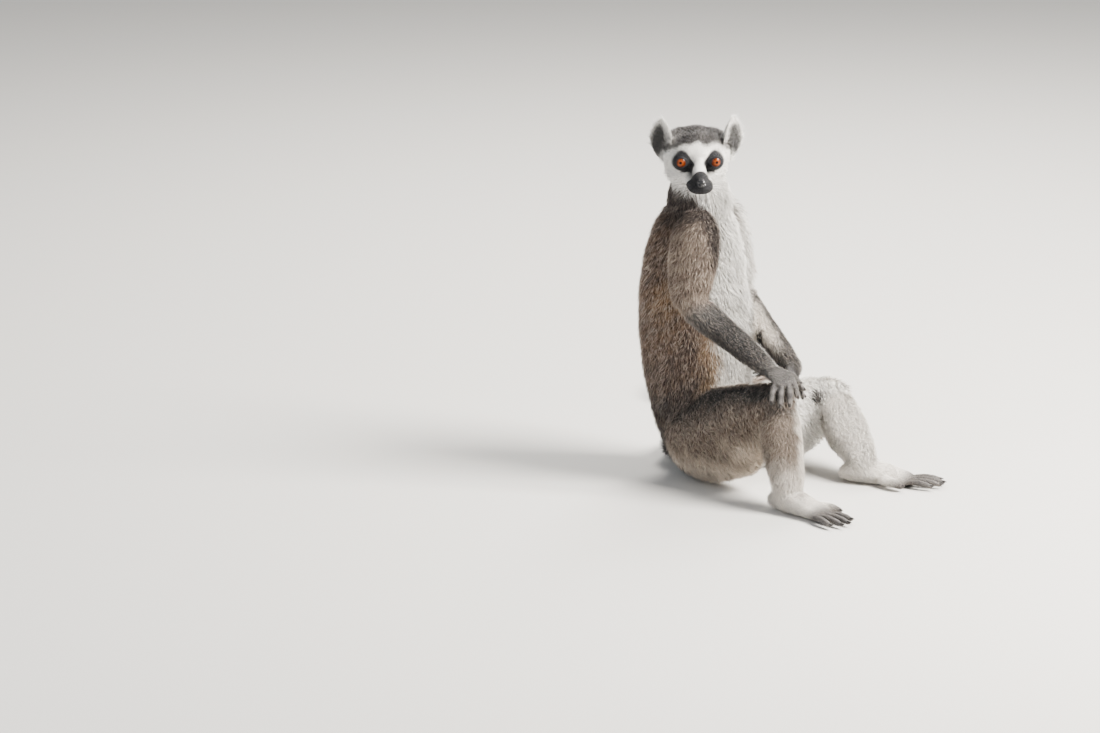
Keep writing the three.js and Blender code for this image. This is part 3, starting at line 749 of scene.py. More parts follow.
def mark_legs(m):
    """Legs dark above, brown-grey outside, gold below, white inside and down the front, with grey toes."""
    under = ramp(-m.normals[:, 2] + 0.12 * m.wander, 0.0, 0.55)
    knee_off = np.linalg.norm(m.points - KNEE_TOP, axis=1) * 1000
    over_knee = (1 - ramp(knee_off, 42, 86)) * (0.35 + 0.55 * ramp(m.normals[:, 2], 0.1, 0.5))
    inside = ramp(-m.outward + 0.12 * m.wander + over_knee, 0.08, 0.40)
    above = ramp(m.normals[:, 2] + 0.1 * m.wander, 0.05, 0.65) * ramp(m.outward, -0.1, 0.4)
    above = above * np.where(m.x > 0, 0.5, 1)
    outside = m.share["thigh"] * (1 - inside)
    low = 1 - ramp(m.z, 14, 40)
    m.add(m.share["thigh"] * inside, white=1)
    pale = np.clip(0.10 + 0.08 * m.mottle, 0, 1)
    m.add(outside * (1 - under) * (1 - above), white=pale, brown=0.50, gold=0.10)
    m.add(outside * above, black=0.50)
    m.add(outside * under, gold=0.48 - 0.08 * low, white=0.52 + 0.08 * low)
    least = np.where(m.x > 0, -0.5, 0.45)  # more of the left shin is white
    before = np.maximum(inside, ramp(m.normals @ FRONT_LEFT + 0.12 * m.wander, least, least + 0.4))
    pale_from = np.where(m.x > 0, 36, 24) + 6 * m.wander
    before = np.maximum(before, 1 - ramp(m.z, pale_from, pale_from + 42))
    m.add(m.share["shin"] * before, white=0.84, gold=np.where(m.x > 0, 0.08, 0.18))
    m.add(m.share["shin"] * (1 - before), white=0.10, gold=0.14, brown=0.35)
    spot = 1 - ramp(off_middle(m.points, *KNEE_SPOT), 0.5, 1.1)
    m.white -= m.white * spot
    m.add((m.share["thigh"] + m.share["shin"]) * spot, black=0.78)
    to_ankle = np.minimum(*[np.linalg.norm(m.points - a, axis=1) for a in ANKLE.values()]) * 1000
    toes = ramp(to_ankle, 38, 58)
    m.add(m.share["foot"] * (1 - toes), white=0.85, gold=0.10)
    m.add(m.share["foot"] * toes, black=0.30)


def mark_tail(m):
    """A tail with black and white rings and a black tip, whose very root is coloured like the rump."""
    run = path_run[along_tail(m.points)] / path_run[-1] * TAIL_RINGS
    wave = np.abs((run % 2) - 1)  # one in the middle of a pale ring, nought in the middle of a dark one
    ring = ramp(wave, 0.44, 0.56) * (1 - ramp(run, TAIL_RINGS - 1.9, TAIL_RINGS - 1.7))
    ringed = ramp(run, 0.7, 1.3)
    m.add(m.share["tail"] * ringed, white=ring, black=1 - ring)
    m.add(m.share["tail"] * (1 - ringed), brown=0.6)


def markings(points, normals, share):
    """Shares of white, brown, black and gold at each point, as four columns."""
    m = Marks(points, normals, share)
    for mark_part in (mark_head, mark_ears, mark_trunk, mark_arms, mark_legs, mark_tail):
        mark_part(m)
    marks = np.stack([m.white, m.brown, m.black, m.gold], axis=1)
    return marks / np.maximum(marks.sum(axis=1, keepdims=True), 1)


share = nearness(points)
mark = markings(points, normals, share)
mark[is_lid] = (0, 0, 1, 0)
bare = of_regions(share, "hand")


def new_group(name, inputs, outputs):
    """A node group with float or colour sockets of those names, and its input and output nodes."""
    tree = bpy.data.node_groups.new(name, "ShaderNodeTree")
    for label, kind in inputs.items():
        tree.interface.new_socket(label, in_out="INPUT", socket_type=kind)
    for label, kind in outputs.items():
        tree.interface.new_socket(label, in_out="OUTPUT", socket_type=kind)
    return tree, tree.nodes.new("NodeGroupInput"), tree.nodes.new("NodeGroupOutput")


def add_node(tree, kind, settings=None, **inputs):
    """A node with its settings made and its inputs linked, or set where a plain value is given.

    An input is called by its name, or by i and its number where names repeat.
    """
    node = tree.nodes.new(kind)
    for key, value in (settings or {}).items():
        setattr(node, key, value)
    for key, value in inputs.items():
        index = int(key[1:]) if key[0] == "i" and key[1:].isdigit() else key.replace("_", " ")
        if isinstance(value, bpy.types.NodeSocket):
            tree.links.new(value, node.inputs[index])
        else:
            node.inputs[index].default_value = value
    return node


def maths(tree, operation, *values):
    """The result of one arithmetic node."""
    numbered = {f"i{i}": value for i, value in enumerate(values)}
    return add_node(tree, "ShaderNodeMath", {"operation": operation}, **numbered).outputs[0]


def between(tree, share, first_colour, second_colour):
    """One colour turning into another."""
    ends = {"i6": first_colour, "i7": second_colour}
    return add_node(tree, "ShaderNodeMix", {"data_type": "RGBA"}, i0=share, **ends).outputs[2]


def remapped(tree, value, low, high, out_low=0.0, out_high=1.0):
    """A value carried smoothly from one range to another."""
    settings = {"interpolation_type": "SMOOTHSTEP"}
    node = add_node(tree, "ShaderNodeMapRange", settings, Value=value)
    node.inputs[1].default_value, node.inputs[2].default_value = low, high
    node.inputs[3].default_value, node.inputs[4].default_value = out_low, out_high
    return node.outputs[0]


# The colour of the coat from its marks: each kind of hair is dark at the root and paler at the tip,
# and on grey and brown a hair here and there ends in a pale band.
FLOAT, COLOUR = "NodeSocketFloat", "NodeSocketColor"
HAIR = {  # root and tip of each kind of hair
    "grey": ((0.120, 0.114, 0.112, 1), (0.240, 0.228, 0.218, 1)),
    "white": ((0.890, 0.865, 0.820, 1), (0.965, 0.955, 0.930, 1)),
    "brown": ((0.105, 0.071, 0.057, 1), (0.270, 0.185, 0.145, 1)),
    "black": ((0.013, 0.013, 0.015, 1), (0.034, 0.034, 0.039, 1)),
    "gold": ((0.460, 0.290, 0.155, 1), (0.800, 0.570, 0.340, 1)),
}
TICK = (0.500, 0.425, 0.360, 1)
colouring, given, result = new_group(
    "coat_colouring", {"Marks": COLOUR, "Gold": FLOAT, "Along": FLOAT, "Chance": FLOAT}, {"Colour": COLOUR}
)
parts = add_node(colouring, "ShaderNodeSeparateColor", Color=given.outputs["Marks"])
shares = dict(zip(("white", "brown", "black"), parts.outputs), gold=given.outputs["Gold"])
known = 0.0
for share_of_kind in shares.values():
    known = maths(colouring, "ADD", known, share_of_kind)
shares["grey"] = maths(colouring, "MAXIMUM", maths(colouring, "SUBTRACT", 1.0, known), 0.0)
SCALE, ADD = {"operation": "SCALE"}, {"operation": "ADD"}
total = (0.0, 0.0, 0.0)
for kind, (root, tip) in HAIR.items():
    colour = between(colouring, given.outputs["Along"], root, tip)
    part = add_node(colouring, "ShaderNodeVectorMath", SCALE, i0=colour, Scale=shares[kind]).outputs[0]
    total = add_node(colouring, "ShaderNodeVectorMath", ADD, i0=total, i1=part).outputs[0]
ticked = maths(colouring, "MULTIPLY", remapped(colouring, given.outputs["Along"], 0.38, 0.55), 0.80)
past_band = remapped(colouring, given.outputs["Along"], 0.80, 0.92, 1.0, 0.25)
ticked = maths(colouring, "MULTIPLY", ticked, past_band)
ticked = maths(colouring, "MULTIPLY", ticked, remapped(colouring, given.outputs["Chance"], 0.62, 0.72))
ticked = maths(colouring, "MULTIPLY", ticked, maths(colouring, "ADD", shares["grey"], shares["brown"]))
total = between(colouring, ticked, total, TICK)
shade = remapped(colouring, given.outputs["Chance"], 0.0, 1.0, 0.80, 1.10)
total = add_node(colouring, "ShaderNodeVectorMath", SCALE, i0=total, Scale=shade).outputs[0]
colouring.links.new(total, result.inputs["Colour"])

# Hide: fine close hair over the body, creased leather on the hands and the soft parts of the face.
skin_material, tree, shader = new_material("hide")
place = add_node(tree, "ShaderNodeTexCoord").outputs["Object"]
marks_in = add_node(tree, "ShaderNodeAttribute", {"attribute_name": "mark"})
bare_in = add_node(tree, "ShaderNodeAttribute", {"attribute_name": "bare"})
speckle = add_node(tree, "ShaderNodeTexNoise", Vector=place, Scale=900.0, Detail=2.0).outputs["Fac"]
blotch = add_node(tree, "ShaderNodeTexNoise", Vector=place, Scale=60.0, Detail=3.0).outputs["Fac"]
group = add_node(tree, "ShaderNodeGroup", {"node_tree": colouring}, Marks=marks_in.outputs["Color"])
tree.links.new(marks_in.outputs["Alpha"], group.inputs["Gold"])
tree.links.new(remapped(tree, blotch, 0.3, 0.7, 0.35, 0.55), group.inputs["Along"])
tree.links.new(remapped(tree, speckle, 0.35, 0.65, 0.45, 0.70), group.inputs["Chance"])
blotched = remapped(tree, blotch, 0.35, 0.65)
leather = between(tree, blotched, (0.050, 0.047, 0.049, 1), (0.120, 0.113, 0.111, 1))
painted_knuckle_highlight = add_node(tree, "ShaderNodeAttribute", {"attribute_name": "knuckle"}).outputs["Fac"]
# painted highlight: the leather is painted paler over the finger joints
leather = between(tree, remapped(tree, painted_knuckle_highlight, 0.45, 1.0, 0.0, 0.7), leather, (0.260, 0.240, 0.230, 1))
colour = between(tree, bare_in.outputs["Fac"], group.outputs["Colour"], leather)
tree.links.new(colour, shader.inputs["Base Color"])
combed = add_node(tree, "ShaderNodeAttribute", {"attribute_name": "flow"}).outputs["Vector"]
hair_grain = add_node(tree, "ShaderNodeTexNoise", Vector=combed, Scale=2400.0, Detail=3.0).outputs["Fac"]
cracks = add_node(tree, "ShaderNodeTexVoronoi", {"feature": "DISTANCE_TO_EDGE"}, Vector=place, Scale=1150.0)
creases = remapped(tree, cracks.outputs["Distance"], 0.0, 0.35)
folds = add_node(tree, "ShaderNodeTexNoise", Vector=place, Scale=420.0, Detail=4.0).outputs["Fac"]
creases = maths(tree, "ADD", maths(tree, "MULTIPLY", creases, 0.22), maths(tree, "MULTIPLY", folds, 1.3))
reliefs = {"i2": hair_grain, "i3": creases}
relief = add_node(tree, "ShaderNodeMix", {"data_type": "FLOAT"}, i0=bare_in.outputs["Fac"], **reliefs)
bump = add_node(tree, "ShaderNodeBump", Height=relief.outputs[0], Strength=0.6, Distance=0.0007)
tree.links.new(bump.outputs["Normal"], shader.inputs["Normal"])
shader.inputs["Roughness"].default_value = 0.62
shader.inputs["Specular IOR Level"].default_value = 0.35


def mesh_object(name, points, faces, material, attributes=None):
    """A smooth-shaded object from arrays of points and of equal-sided faces, with named point attributes."""
    mesh = bpy.data.meshes.new(name)
    mesh.vertices.add(len(points))
    mesh.vertices.foreach_set("co", np.ascontiguousarray(points, np.float32).ravel())
    sides = faces.shape[1]
    mesh.loops.add(faces.size)
    mesh.loops.foreach_set("vertex_index", np.ascontiguousarray(faces, np.int32).ravel())
    mesh.polygons.add(len(faces))
    mesh.polygons.foreach_set("loop_start", np.arange(0, faces.size, sides, dtype=np.int32))
    mesh.update(calc_edges=True)
    mesh.polygons.foreach_set("use_smooth", np.ones(len(faces), bool))
    for label, values in (attributes or {}).items():
        if values.ndim == 1:
            layer = mesh.attributes.new(label, "FLOAT", "POINT")
            layer.data.foreach_set("value", values.astype(np.float32))
        else:
            layer = mesh.attributes.new(label, "FLOAT_COLOR", "POINT")
            layer.data.foreach_set("color", np.ascontiguousarray(values, np.float32).ravel())
    mesh.materials.append(material)
    made = bpy.data.objects.new(name, mesh)
    bpy.context.scene.collection.objects.link(made)
    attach(made, "root")
    return made


# The grain of the close hair: a place squeezed along the way the hair points, so that noise drawn
# from it runs out in streaks.
NOSE_TIP = np.array([0.0, 0.040, -0.012])
off_nose = in_head(points) - NOSE_TIP
far_off = np.linalg.norm(off_nose, axis=1, keepdims=True)
radial = off_nose / far_off * (0.035 + 0.12 * far_off)
level = points * (1.0, 1.0, 0.15)
on_head = of_regions(share, *HEAD_REGIONS, "ear")[:, None]
flow = np.concatenate([radial * on_head + level * (1 - on_head), np.ones((len(points), 1))], axis=1)
hide_attributes = {"mark": mark, "bare": bare, "flow": flow, "knuckle": knuckle}
skin = mesh_object("skin", points, tris, skin_material, hide_attributes)
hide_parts(*flesh)

# ---- Eyes ----
# Each eyeball is a full ball of living glass: a small dark pupil, an orange iris of fine radial
# fibres with a dark rim, a dark white-of-the-eye and a clear bulging front.
PUPIL, IRIS, CORNEA_RISE = 0.17, 0.80, 0.0006  # the first two are angles from the gaze
eye_material, tree, shader = new_material("eye")
uv = add_node(tree, "ShaderNodeUVMap", {"uv_map": "polar"}).outputs["UV"]
polar = add_node(tree, "ShaderNodeSeparateXYZ", Vector=uv)
off_gaze = maths(tree, "MULTIPLY", polar.outputs[1], np.pi)
rays = add_node(tree, "ShaderNodeMapping", Vector=uv, Scale=(42.0, 3.0, 1.0)).outputs[0]
fibre = add_node(tree, "ShaderNodeTexNoise", Vector=rays, Scale=1.0, Detail=4.0).outputs["Fac"]
mottle = remapped(tree, fibre, 0.35, 0.65)
inner = between(tree, mottle, (0.17, 0.036, 0.008, 1), (0.34, 0.082, 0.018, 1))
outer_iris = between(tree, mottle, (0.070, 0.014, 0.005, 1), (0.150, 0.032, 0.010, 1))
colour = between(tree, remapped(tree, off_gaze, 0.22, 0.64), inner, outer_iris)
colour = between(tree, remapped(tree, off_gaze, 0.66, 0.78), colour, (0.055, 0.012, 0.005, 1))
colour = between(tree, remapped(tree, off_gaze, IRIS - 0.01, IRIS + 0.04), colour, (0.10, 0.055, 0.035, 1))
pupil_edge = remapped(tree, off_gaze, PUPIL - 0.05, PUPIL + 0.05)
colour = between(tree, pupil_edge, (0.002, 0.002, 0.002, 1), colour)
tree.links.new(colour, shader.inputs["Base Color"])
shader.inputs["Roughness"].default_value = 0.60
shader.inputs["Specular IOR Level"].default_value = 0.10
shader.inputs["Coat Weight"].default_value = 0.55
shader.inputs["Coat Roughness"].default_value = 0.03
ROUND, OUTWARD = 64, 56
turns, away = np.linspace(0, 2 * np.pi, ROUND + 1)[:-1], np.linspace(0, np.pi, OUTWARD + 1)[1:-1]


def ball_faces(rows, columns):
    """Triangles of a ball of rows and columns of points, with its first and last poles after them."""
    ring, last, first_pole = np.arange(columns), (rows - 1) * columns, rows * columns
    onward = (ring + 1) % columns
    return np.concatenate([
        strip_faces(rows, columns),
        np.stack([np.full(columns, first_pole), onward, ring], axis=1),
        np.stack([np.full(columns, first_pole + 1), last + ring, last + onward], axis=1),
    ])


for label, side_sign in (("eye_R", 1), ("eye_L", -1)):
    turn_of = np.concatenate([np.tile(turns, OUTWARD - 1), [0, 0]])
    away_of = np.concatenate([np.repeat(away, ROUND), [0, np.pi]])
    radius = EYE_RADIUS - 0.0002 + CORNEA_RISE * (1 - ramp(away_of, 0.10, IRIS))
    ball = round_gaze(gaze_frame(side_sign), away_of, turn_of, radius)
    faces = ball_faces(OUTWARD - 1, ROUND)
    if side_sign < 0:
        faces = faces[:, ::-1]
    eyeball = mesh_object("eyeball" + label[-2:], ball, faces, eye_material)
    layer = eyeball.data.uv_layers.new(name="polar")
    corner_turn = turn_of[faces] / (2 * np.pi)
    pole = faces >= (OUTWARD - 1) * ROUND
    widest = np.where(pole, 0, corner_turn).max(axis=1, keepdims=True)
    corner_turn = np.where((corner_turn == 0) & (widest > 0.6), 1.0, corner_turn)  # the seam's far side
    rim_corners = np.maximum((~pole).sum(axis=1, keepdims=True), 1)
    beside = np.where(pole, 0, corner_turn).sum(axis=1, keepdims=True) / rim_corners
    polar_uv = np.stack([np.where(pole, beside, corner_turn), away_of[faces] / np.pi], axis=-1)
    layer.data.foreach_set("uv", polar_uv.astype(np.float32).ravel())
    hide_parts(label)

# ---- Nose ----
# The bare wet pad at the end of the muzzle: slate leather with a comma-shaped nostril on each side
# and a groove down its middle.
NOSE_AT, NOSE_SIZE = np.array([0.0, 34.9, -14.2]), np.array([5.1, 5.3, 4.6])
nose_material, tree, shader = new_material("nose_leather")
place = add_node(tree, "ShaderNodeTexCoord").outputs["Object"]
patches = add_node(tree, "ShaderNodeTexNoise", Vector=place, Scale=400.0, Detail=3.0).outputs["Fac"]
colour = between(tree, patches, (0.008, 0.008, 0.010, 1), (0.024, 0.024, 0.027, 1))
tree.links.new(colour, shader.inputs["Base Color"])
pebbles = add_node(tree, "ShaderNodeTexVoronoi", {"feature": "DISTANCE_TO_EDGE"}, Vector=place, Scale=1500.0)
bump = add_node(tree, "ShaderNodeBump", Height=pebbles.outputs["Distance"], Strength=0.25, Distance=0.0003)
tree.links.new(bump.outputs["Normal"], shader.inputs["Normal"])
shader.inputs["Roughness"].default_value = 0.32
shader.inputs["Coat Weight"].default_value = 0.80
shader.inputs["Coat Roughness"].default_value = 0.08
NOSE_ROWS, NOSE_COLUMNS = 63, 96


def unit_ball(rows, columns):
    """Points of a ball of radius one in rows of latitude, with its lowest and highest points last."""
    turns = np.linspace(0, 2 * np.pi, columns + 1)[:-1]
    tilts = np.linspace(-np.pi / 2, np.pi / 2, rows + 2)[1:-1]
    tilt, turn_grid = np.meshgrid(tilts, turns, indexing="ij")
    level = np.stack([np.cos(turn_grid), np.sin(turn_grid)], axis=-1) * np.cos(tilt)[..., None]
    ball = np.concatenate([level, np.sin(tilt)[..., None]], axis=-1)
    return np.concatenate([ball.reshape(-1, 3), [[0, 0, -1], [0, 0, 1]]])


# A rounded box rather than a ball, dented by the nostrils and the groove, and narrower below.
ball = unit_ball(NOSE_ROWS, NOSE_COLUMNS)
shaped = np.sign(ball) * np.abs(ball) ** 0.86
wing = np.abs(shaped[:, 0])
nostril_up = shaped[:, 2] + 0.05 - 0.5 * (wing - 0.5)
nostril = bell(np.hypot((wing - 0.56) / 1.25, nostril_up / 0.85), 0, 0.30)
nostril = nostril * ramp(shaped[:, 1], 0.1, 0.45)
groove = 0.10 * bell(shaped[:, 0], 0, 0.10) * ramp(shaped[:, 1], 0.1, 0.5) * ramp(-shaped[:, 2], -0.3, 0.3)
shaped = shaped * (1 - 0.34 * nostril - groove)[:, None]
shaped[:, 0] *= 1 - 0.22 * ramp(-shaped[:, 2], 0.0, 1.0)
nose_points = HEAD_AT + (NOSE_AT + shaped * NOSE_SIZE) / 1000 @ head_axes.T
nose_pad = mesh_object("nose_pad", nose_points, ball_faces(NOSE_ROWS, NOSE_COLUMNS), nose_material)
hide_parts("nose")

# ---- Coat ----
# Locks of hair rooted all over the hide. Each is a thin, three-sided, closed spike that leaves the
# hide at a low angle, bends back along it and tapers to a point: long on the back, chest and tail,
# very short on the muzzle and the feet, and none on the palms, fingers and toes.
coat_material, tree, shader = new_material("hair")
marks_in = add_node(tree, "ShaderNodeAttribute", {"attribute_name": "mark"})
lock_in = add_node(tree, "ShaderNodeAttribute", {"attribute_name": "lock"})
lock_parts = add_node(tree, "ShaderNodeSeparateColor", Color=lock_in.outputs["Color"])
place = add_node(tree, "ShaderNodeTexCoord").outputs["Object"]
drift = add_node(tree, "ShaderNodeTexNoise", Vector=place, Scale=45.0, Detail=2.0).outputs["Fac"]
group = add_node(tree, "ShaderNodeGroup", {"node_tree": colouring}, Marks=marks_in.outputs["Color"])
tree.links.new(marks_in.outputs["Alpha"], group.inputs["Gold"])
tree.links.new(lock_parts.outputs[0], group.inputs["Along"])
chance = maths(tree, "ADD", lock_parts.outputs[1], remapped(tree, drift, 0.3, 0.7, -0.10, 0.10))
tree.links.new(chance, group.inputs["Chance"])
tree.links.new(group.outputs["Colour"], shader.inputs["Base Color"])
shader.inputs["Roughness"].default_value = 0.55
shader.inputs["Specular IOR Level"].default_value = 0.30
shader.inputs["Sheen Weight"].default_value = 0.12

HAIRS = {  # a lock's length and width in mm, how far it stands off as a slope, and locks to a square mm
    "trunk": (11.5, 1.00, 0.72, 0.47), "neck": (10.5, 0.95, 0.66, 0.62), "head": (6.0, 0.70, 0.45, 1.25),
    "eye": (1.8, 0.36, 0.34, 3.20), "nose": (1.2, 0.32, 0.28, 3.20), "ear": (4.5, 0.60, 0.50, 1.30),
    "upper_arm": (10.0, 0.92, 0.68, 0.55), "forearm": (6.8, 0.75, 0.64, 0.72),
    "hand": (3.4, 0.30, 0.30, 2.60), "thigh": (11.5, 1.00, 0.70, 0.47), "shin": (8.5, 0.80, 0.74, 0.70),
    "foot": (3.2, 0.48, 0.45, 1.50), "tail": (13.0, 0.95, 0.75, 0.62),
}
LIMB_ENDS = {  # where each limb's hair comes from and points to, in mm
    "upper_arm_R": ((-40, -14, 274), (-66, -18, 201)), "forearm_R": ((-66, -18, 201), (-53, -106, 138)),
    "upper_arm_L": ((38, 2, 272), (49, -10, 192)), "forearm_L": ((49, -10, 192), (8, -103, 126)),
    "thigh_R": ((-30, 5, 70), (-59, -123, 88)), "shin_R": ((-59, -123, 107), (-94, -152, 22)),
    "thigh_L": ((30, 5, 60), (107, -97, 63)), "shin_L": ((107, -97, 74), (49, -166, 22)),
    "foot_R": ((-94, -152, 22), (-110, -200, 12)), "foot_L": ((49, -166, 22), (61, -215, 12)),
    "hand_R": ((-53, -106, 138), (-64, -137, 128)), "hand_L": ((8, -103, 126), (-22, -127, 124)),
}


def lie_of_coat(points, share):
    """The way the hair points: away from the nose, down the body, along the limbs and the tail."""
    lie = np.zeros_like(points)
    away = unit((in_head(points) - NOSE_TIP) * [1.0, 1.0, 0.8]) @ head_axes.T
    ear_up = unit(np.array([0.0, 0.15, 1.0])) @ head_axes.T
    down_tail = np.column_stack([path_ahead[along_tail(points)], np.zeros(len(points))])
    for name, value in share.items():
        region = region_of(name)
        if region in HEAD_REGIONS:
            way = away
        elif region == "ear":
            way = ear_up
        elif region == "tail":
            way = unit(down_tail)
        elif region in ("trunk", "neck"):
            way = np.array([0.0, 0.0, -1.0])
        else:
            start, end = LIMB_ENDS[name]
            way = unit(np.subtract(end, start).astype(float))
            if region == "thigh":
                shin_start, shin_end = LIMB_ENDS[name.replace("thigh", "shin")]
                down_shin = unit(np.subtract(shin_end, shin_start).astype(float))
                at_knee = 1 - ramp(np.linalg.norm(points * 1000 - shin_start, axis=1), 18, 46)
                way = unit(way + np.array([0.0, 0.0, -0.9]))
                way = way + at_knee[:, None] * (down_shin - way)
        lie += value[:, None] * way
    return lie


def hair_size(points, normals, share):
    """Length, width and slope of the locks and how thickly they stand at some points of the hide."""
    size = sum(value[:, None] * np.array(HAIRS[region_of(name)]) for name, value in share.items())
    length, width, slope, count = size.T.copy()
    local = in_head(points) * 1000
    side, out, high = np.abs(local[:, 0]), local[:, 1], local[:, 2]
    head, ear, tail = of_regions(share, *HEAD_REGIONS), of_regions(share, "ear"), of_regions(share, "tail")
    # on the head the hair grows longer from the muzzle back to the cheeks and the nape
    on_head = 1.0 + 1.5 * ramp(-out, -16, -2) + 2.6 * ramp(-out, -4, 10) + 2.6 * ramp(-out, 8, 22)
    on_head = on_head + 3.8 * ramp(-out, 0, 14) * ramp(-high, 2, 16)
    around_eye = (1 - ramp(np.hypot(side - EYE_SIDE, high), 9.5, 14)) * (out > -12)
    on_head = on_head * (1 - around_eye) + 1.3 * around_eye
    length = length * (1 - head) + head * on_head
    width = width * (1 - 0.40 * head * ramp(out, -12, 8))
    count = count * (1 + 1.4 * head * ramp(out, -14, 0))
    # the ear's rim carries a fringe
    rim = ramp(np.hypot((side - 34) / 14, (high - 19) / 25), 0.72, 0.98)
    length = length + ear * rim * 3.5
    # the chest is shaggy and the tail fullest in its last half
    chest = bell(np.degrees(np.arctan2(np.abs(points[:, 0]), 0.005 - points[:, 1])), 0, 45)
    trunk = share["trunk"] + share["neck"]
    left_arm = share["upper_arm_L"] * ramp(-normals[:, 1], 0.1, 0.5)
    ruffled = (trunk * chest + left_arm) * ramp(points[:, 2], 0.11, 0.19)
    length = length + ruffled * (5.0 + 2.0 * waves(points, 8))
    slope = slope + ruffled * (0.30 + 0.20 * waves(points, 9))
    run = path_run[along_tail(points)] / path_run[-1]
    length = length + tail * (2.5 * run - 2.0 * (1 - ramp(run, 0.0, 0.15)))
    # fingers, toes, palms and soles are bare, and the hair grows shorter towards them
    for name, joint in JOINT.items():
        region = region_of(name)
        if region not in ("hand", "foot"):
            continue
        far_off = np.linalg.norm(points - joint, axis=1) * 1000
        if region == "hand":
            off_knee = (normals * unit(points - KNEE)).sum(axis=1)
            underside = ramp(-off_knee, -0.45, 0.0) * ramp(far_off, 9, 20)
            digits, fade = ramp(far_off, 26, 52), 0.8 - 0.9 * ramp(far_off, 4, 40)
        else:
            underside = ramp(-normals[:, 2], 0.5, 0.8)
            digits, fade = ramp(far_off, 58, 86), 1.2 - 1.5 * ramp(far_off, 14, 66)
        bare_here = share[name] * np.maximum(digits, underside)
        count = count * (1 - bare_here)
        length = length * (1 - 0.4 * bare_here + share[name] * fade)
    # nothing grows on the eyeballs, the lids' rims or the nose
    for side_sign in (1, -1):
        middle = gaze_frame(side_sign)[0]
        count = count * ramp(np.linalg.norm(points - middle, axis=1) * 1000, 8.2, 8.8)
    count = count * ramp(off_middle(local, NOSE_AT, NOSE_SIZE), 1.0, 1.15)
    return length / 1000, width / 1000, slope, count


# Roots: so many on each triangle of the hide as its area and the coat's thickness there ask for,
# scattered over it, and none under the seat, on the lids or where the hide is bare.
rng = np.random.default_rng(11)
THINNED = 1.0
LEAST_HEIGHT, LEAST_COUNT = 0.0006, 0.1
ASTRAY = 0.17  # long hairs cross the borders between marks by about this part of their length
corners = points[tris]
on_hide = ~is_lid[tris].any(axis=1)
face_normals = np.cross(corners[:, 1] - corners[:, 0], corners[:, 2] - corners[:, 0])
area = np.linalg.norm(face_normals, axis=1) / 2 * 1e6
wanted = hair_size(points, normals, share)[3][tris].mean(axis=1) * area * on_hide * THINNED
chosen = np.repeat(np.arange(len(tris)), np.floor(wanted + rng.random(len(wanted))).astype(int))
split_a, split_b = rng.random((2, len(chosen)))
over = split_a + split_b > 1
split_a[over], split_b[over] = 1 - split_a[over], 1 - split_b[over]
weights = np.stack([1 - split_a - split_b, split_a, split_b], axis=1)
roots = (points[tris[chosen]] * weights[..., None]).sum(axis=1)
root_normals = unit((normals[tris[chosen]] * weights[..., None]).sum(axis=1))
off_floor = roots[:, 2] > LEAST_HEIGHT
roots, root_normals = roots[off_floor], root_normals[off_floor]
root_share = nearness(roots)
length, width, slope, count = hair_size(roots, root_normals, root_share)
astray = rng.normal(0, ASTRAY, roots.shape) * length[:, None]
root_mark = markings(roots + astray, root_normals, root_share)
keep = count > LEAST_COUNT
lie = lie_of_coat(roots, root_share)
lie = lie - (lie * root_normals).sum(axis=1, keepdims=True) * root_normals
lie = unit(lie + 1e-6)

# Ruffling: each lock swings a little off the lie of the coat and differs in length, width and slope.
across = np.cross(root_normals, lie)
swing = 0.30 * waves(roots, 3) + rng.normal(0, 1, len(roots)) * (0.14 + 0.14 * ramp(length, 0.004, 0.009))
lie = lie * np.cos(swing)[:, None] + across * np.sin(swing)[:, None]
across = np.cross(root_normals, lie)
length = length * rng.uniform(0.72, 1.18, len(roots))
slope = slope * rng.uniform(0.7, 1.35, len(roots)) + 0.08 * waves(roots, 5)
width = width * rng.uniform(0.75, 1.2, len(roots))
chance = rng.random(len(roots))

# Each lock belongs to the region that owns its root most, and the head's shortest to the face.
FACE_HAIR = 0.0030
regions = sorted(HAIRS)
own = np.stack([of_regions(root_share, region) for region in regions], axis=1)
own = np.array(regions)[own.argmax(axis=1)]
own[(length < FACE_HAIR) & (own == "head")] = "eye"
PIECES = {  # piece: regions, steps along a lock, slot
    "coat_face": (("eye", "nose"), 1, "white_coat"),
    "coat_head": (("head",), 2, "white_coat"),
    "coat_ears": (("ear",), 2, "white_coat"),
    "coat_neck": (("neck",), 2, "white_coat"),
    "coat_body": (("trunk",), 2, "brown_coat"),
    "coat_upper_arms": (("upper_arm",), 2, "brown_coat"),
    "coat_forearms": (("forearm", "hand"), 2, "grey_coat"),
    "coat_thighs": (("thigh",), 2, "grey_coat"),
    "coat_shins": (("shin",), 2, "grey_coat"),
    "coat_feet": (("foot",), 1, "grey_coat"),
    "coat_tail": (("tail",), 2, "black_coat"),
}
TAPER = {1: [1.0, 0.0], 2: [1.0, 0.72, 0.0]}  # a lock's width along it, by its number of steps
RIDGE = 0.62  # how high a lock's ridge stands, as a part of half its width
PATCH = 0.003  # the side of each lock's place in the map
ROOTED = 0.06  # the part of its length by which a lock starts under the hide
MOST = 195000  # triangles to a piece
FLOOR_GAP = 0.0004


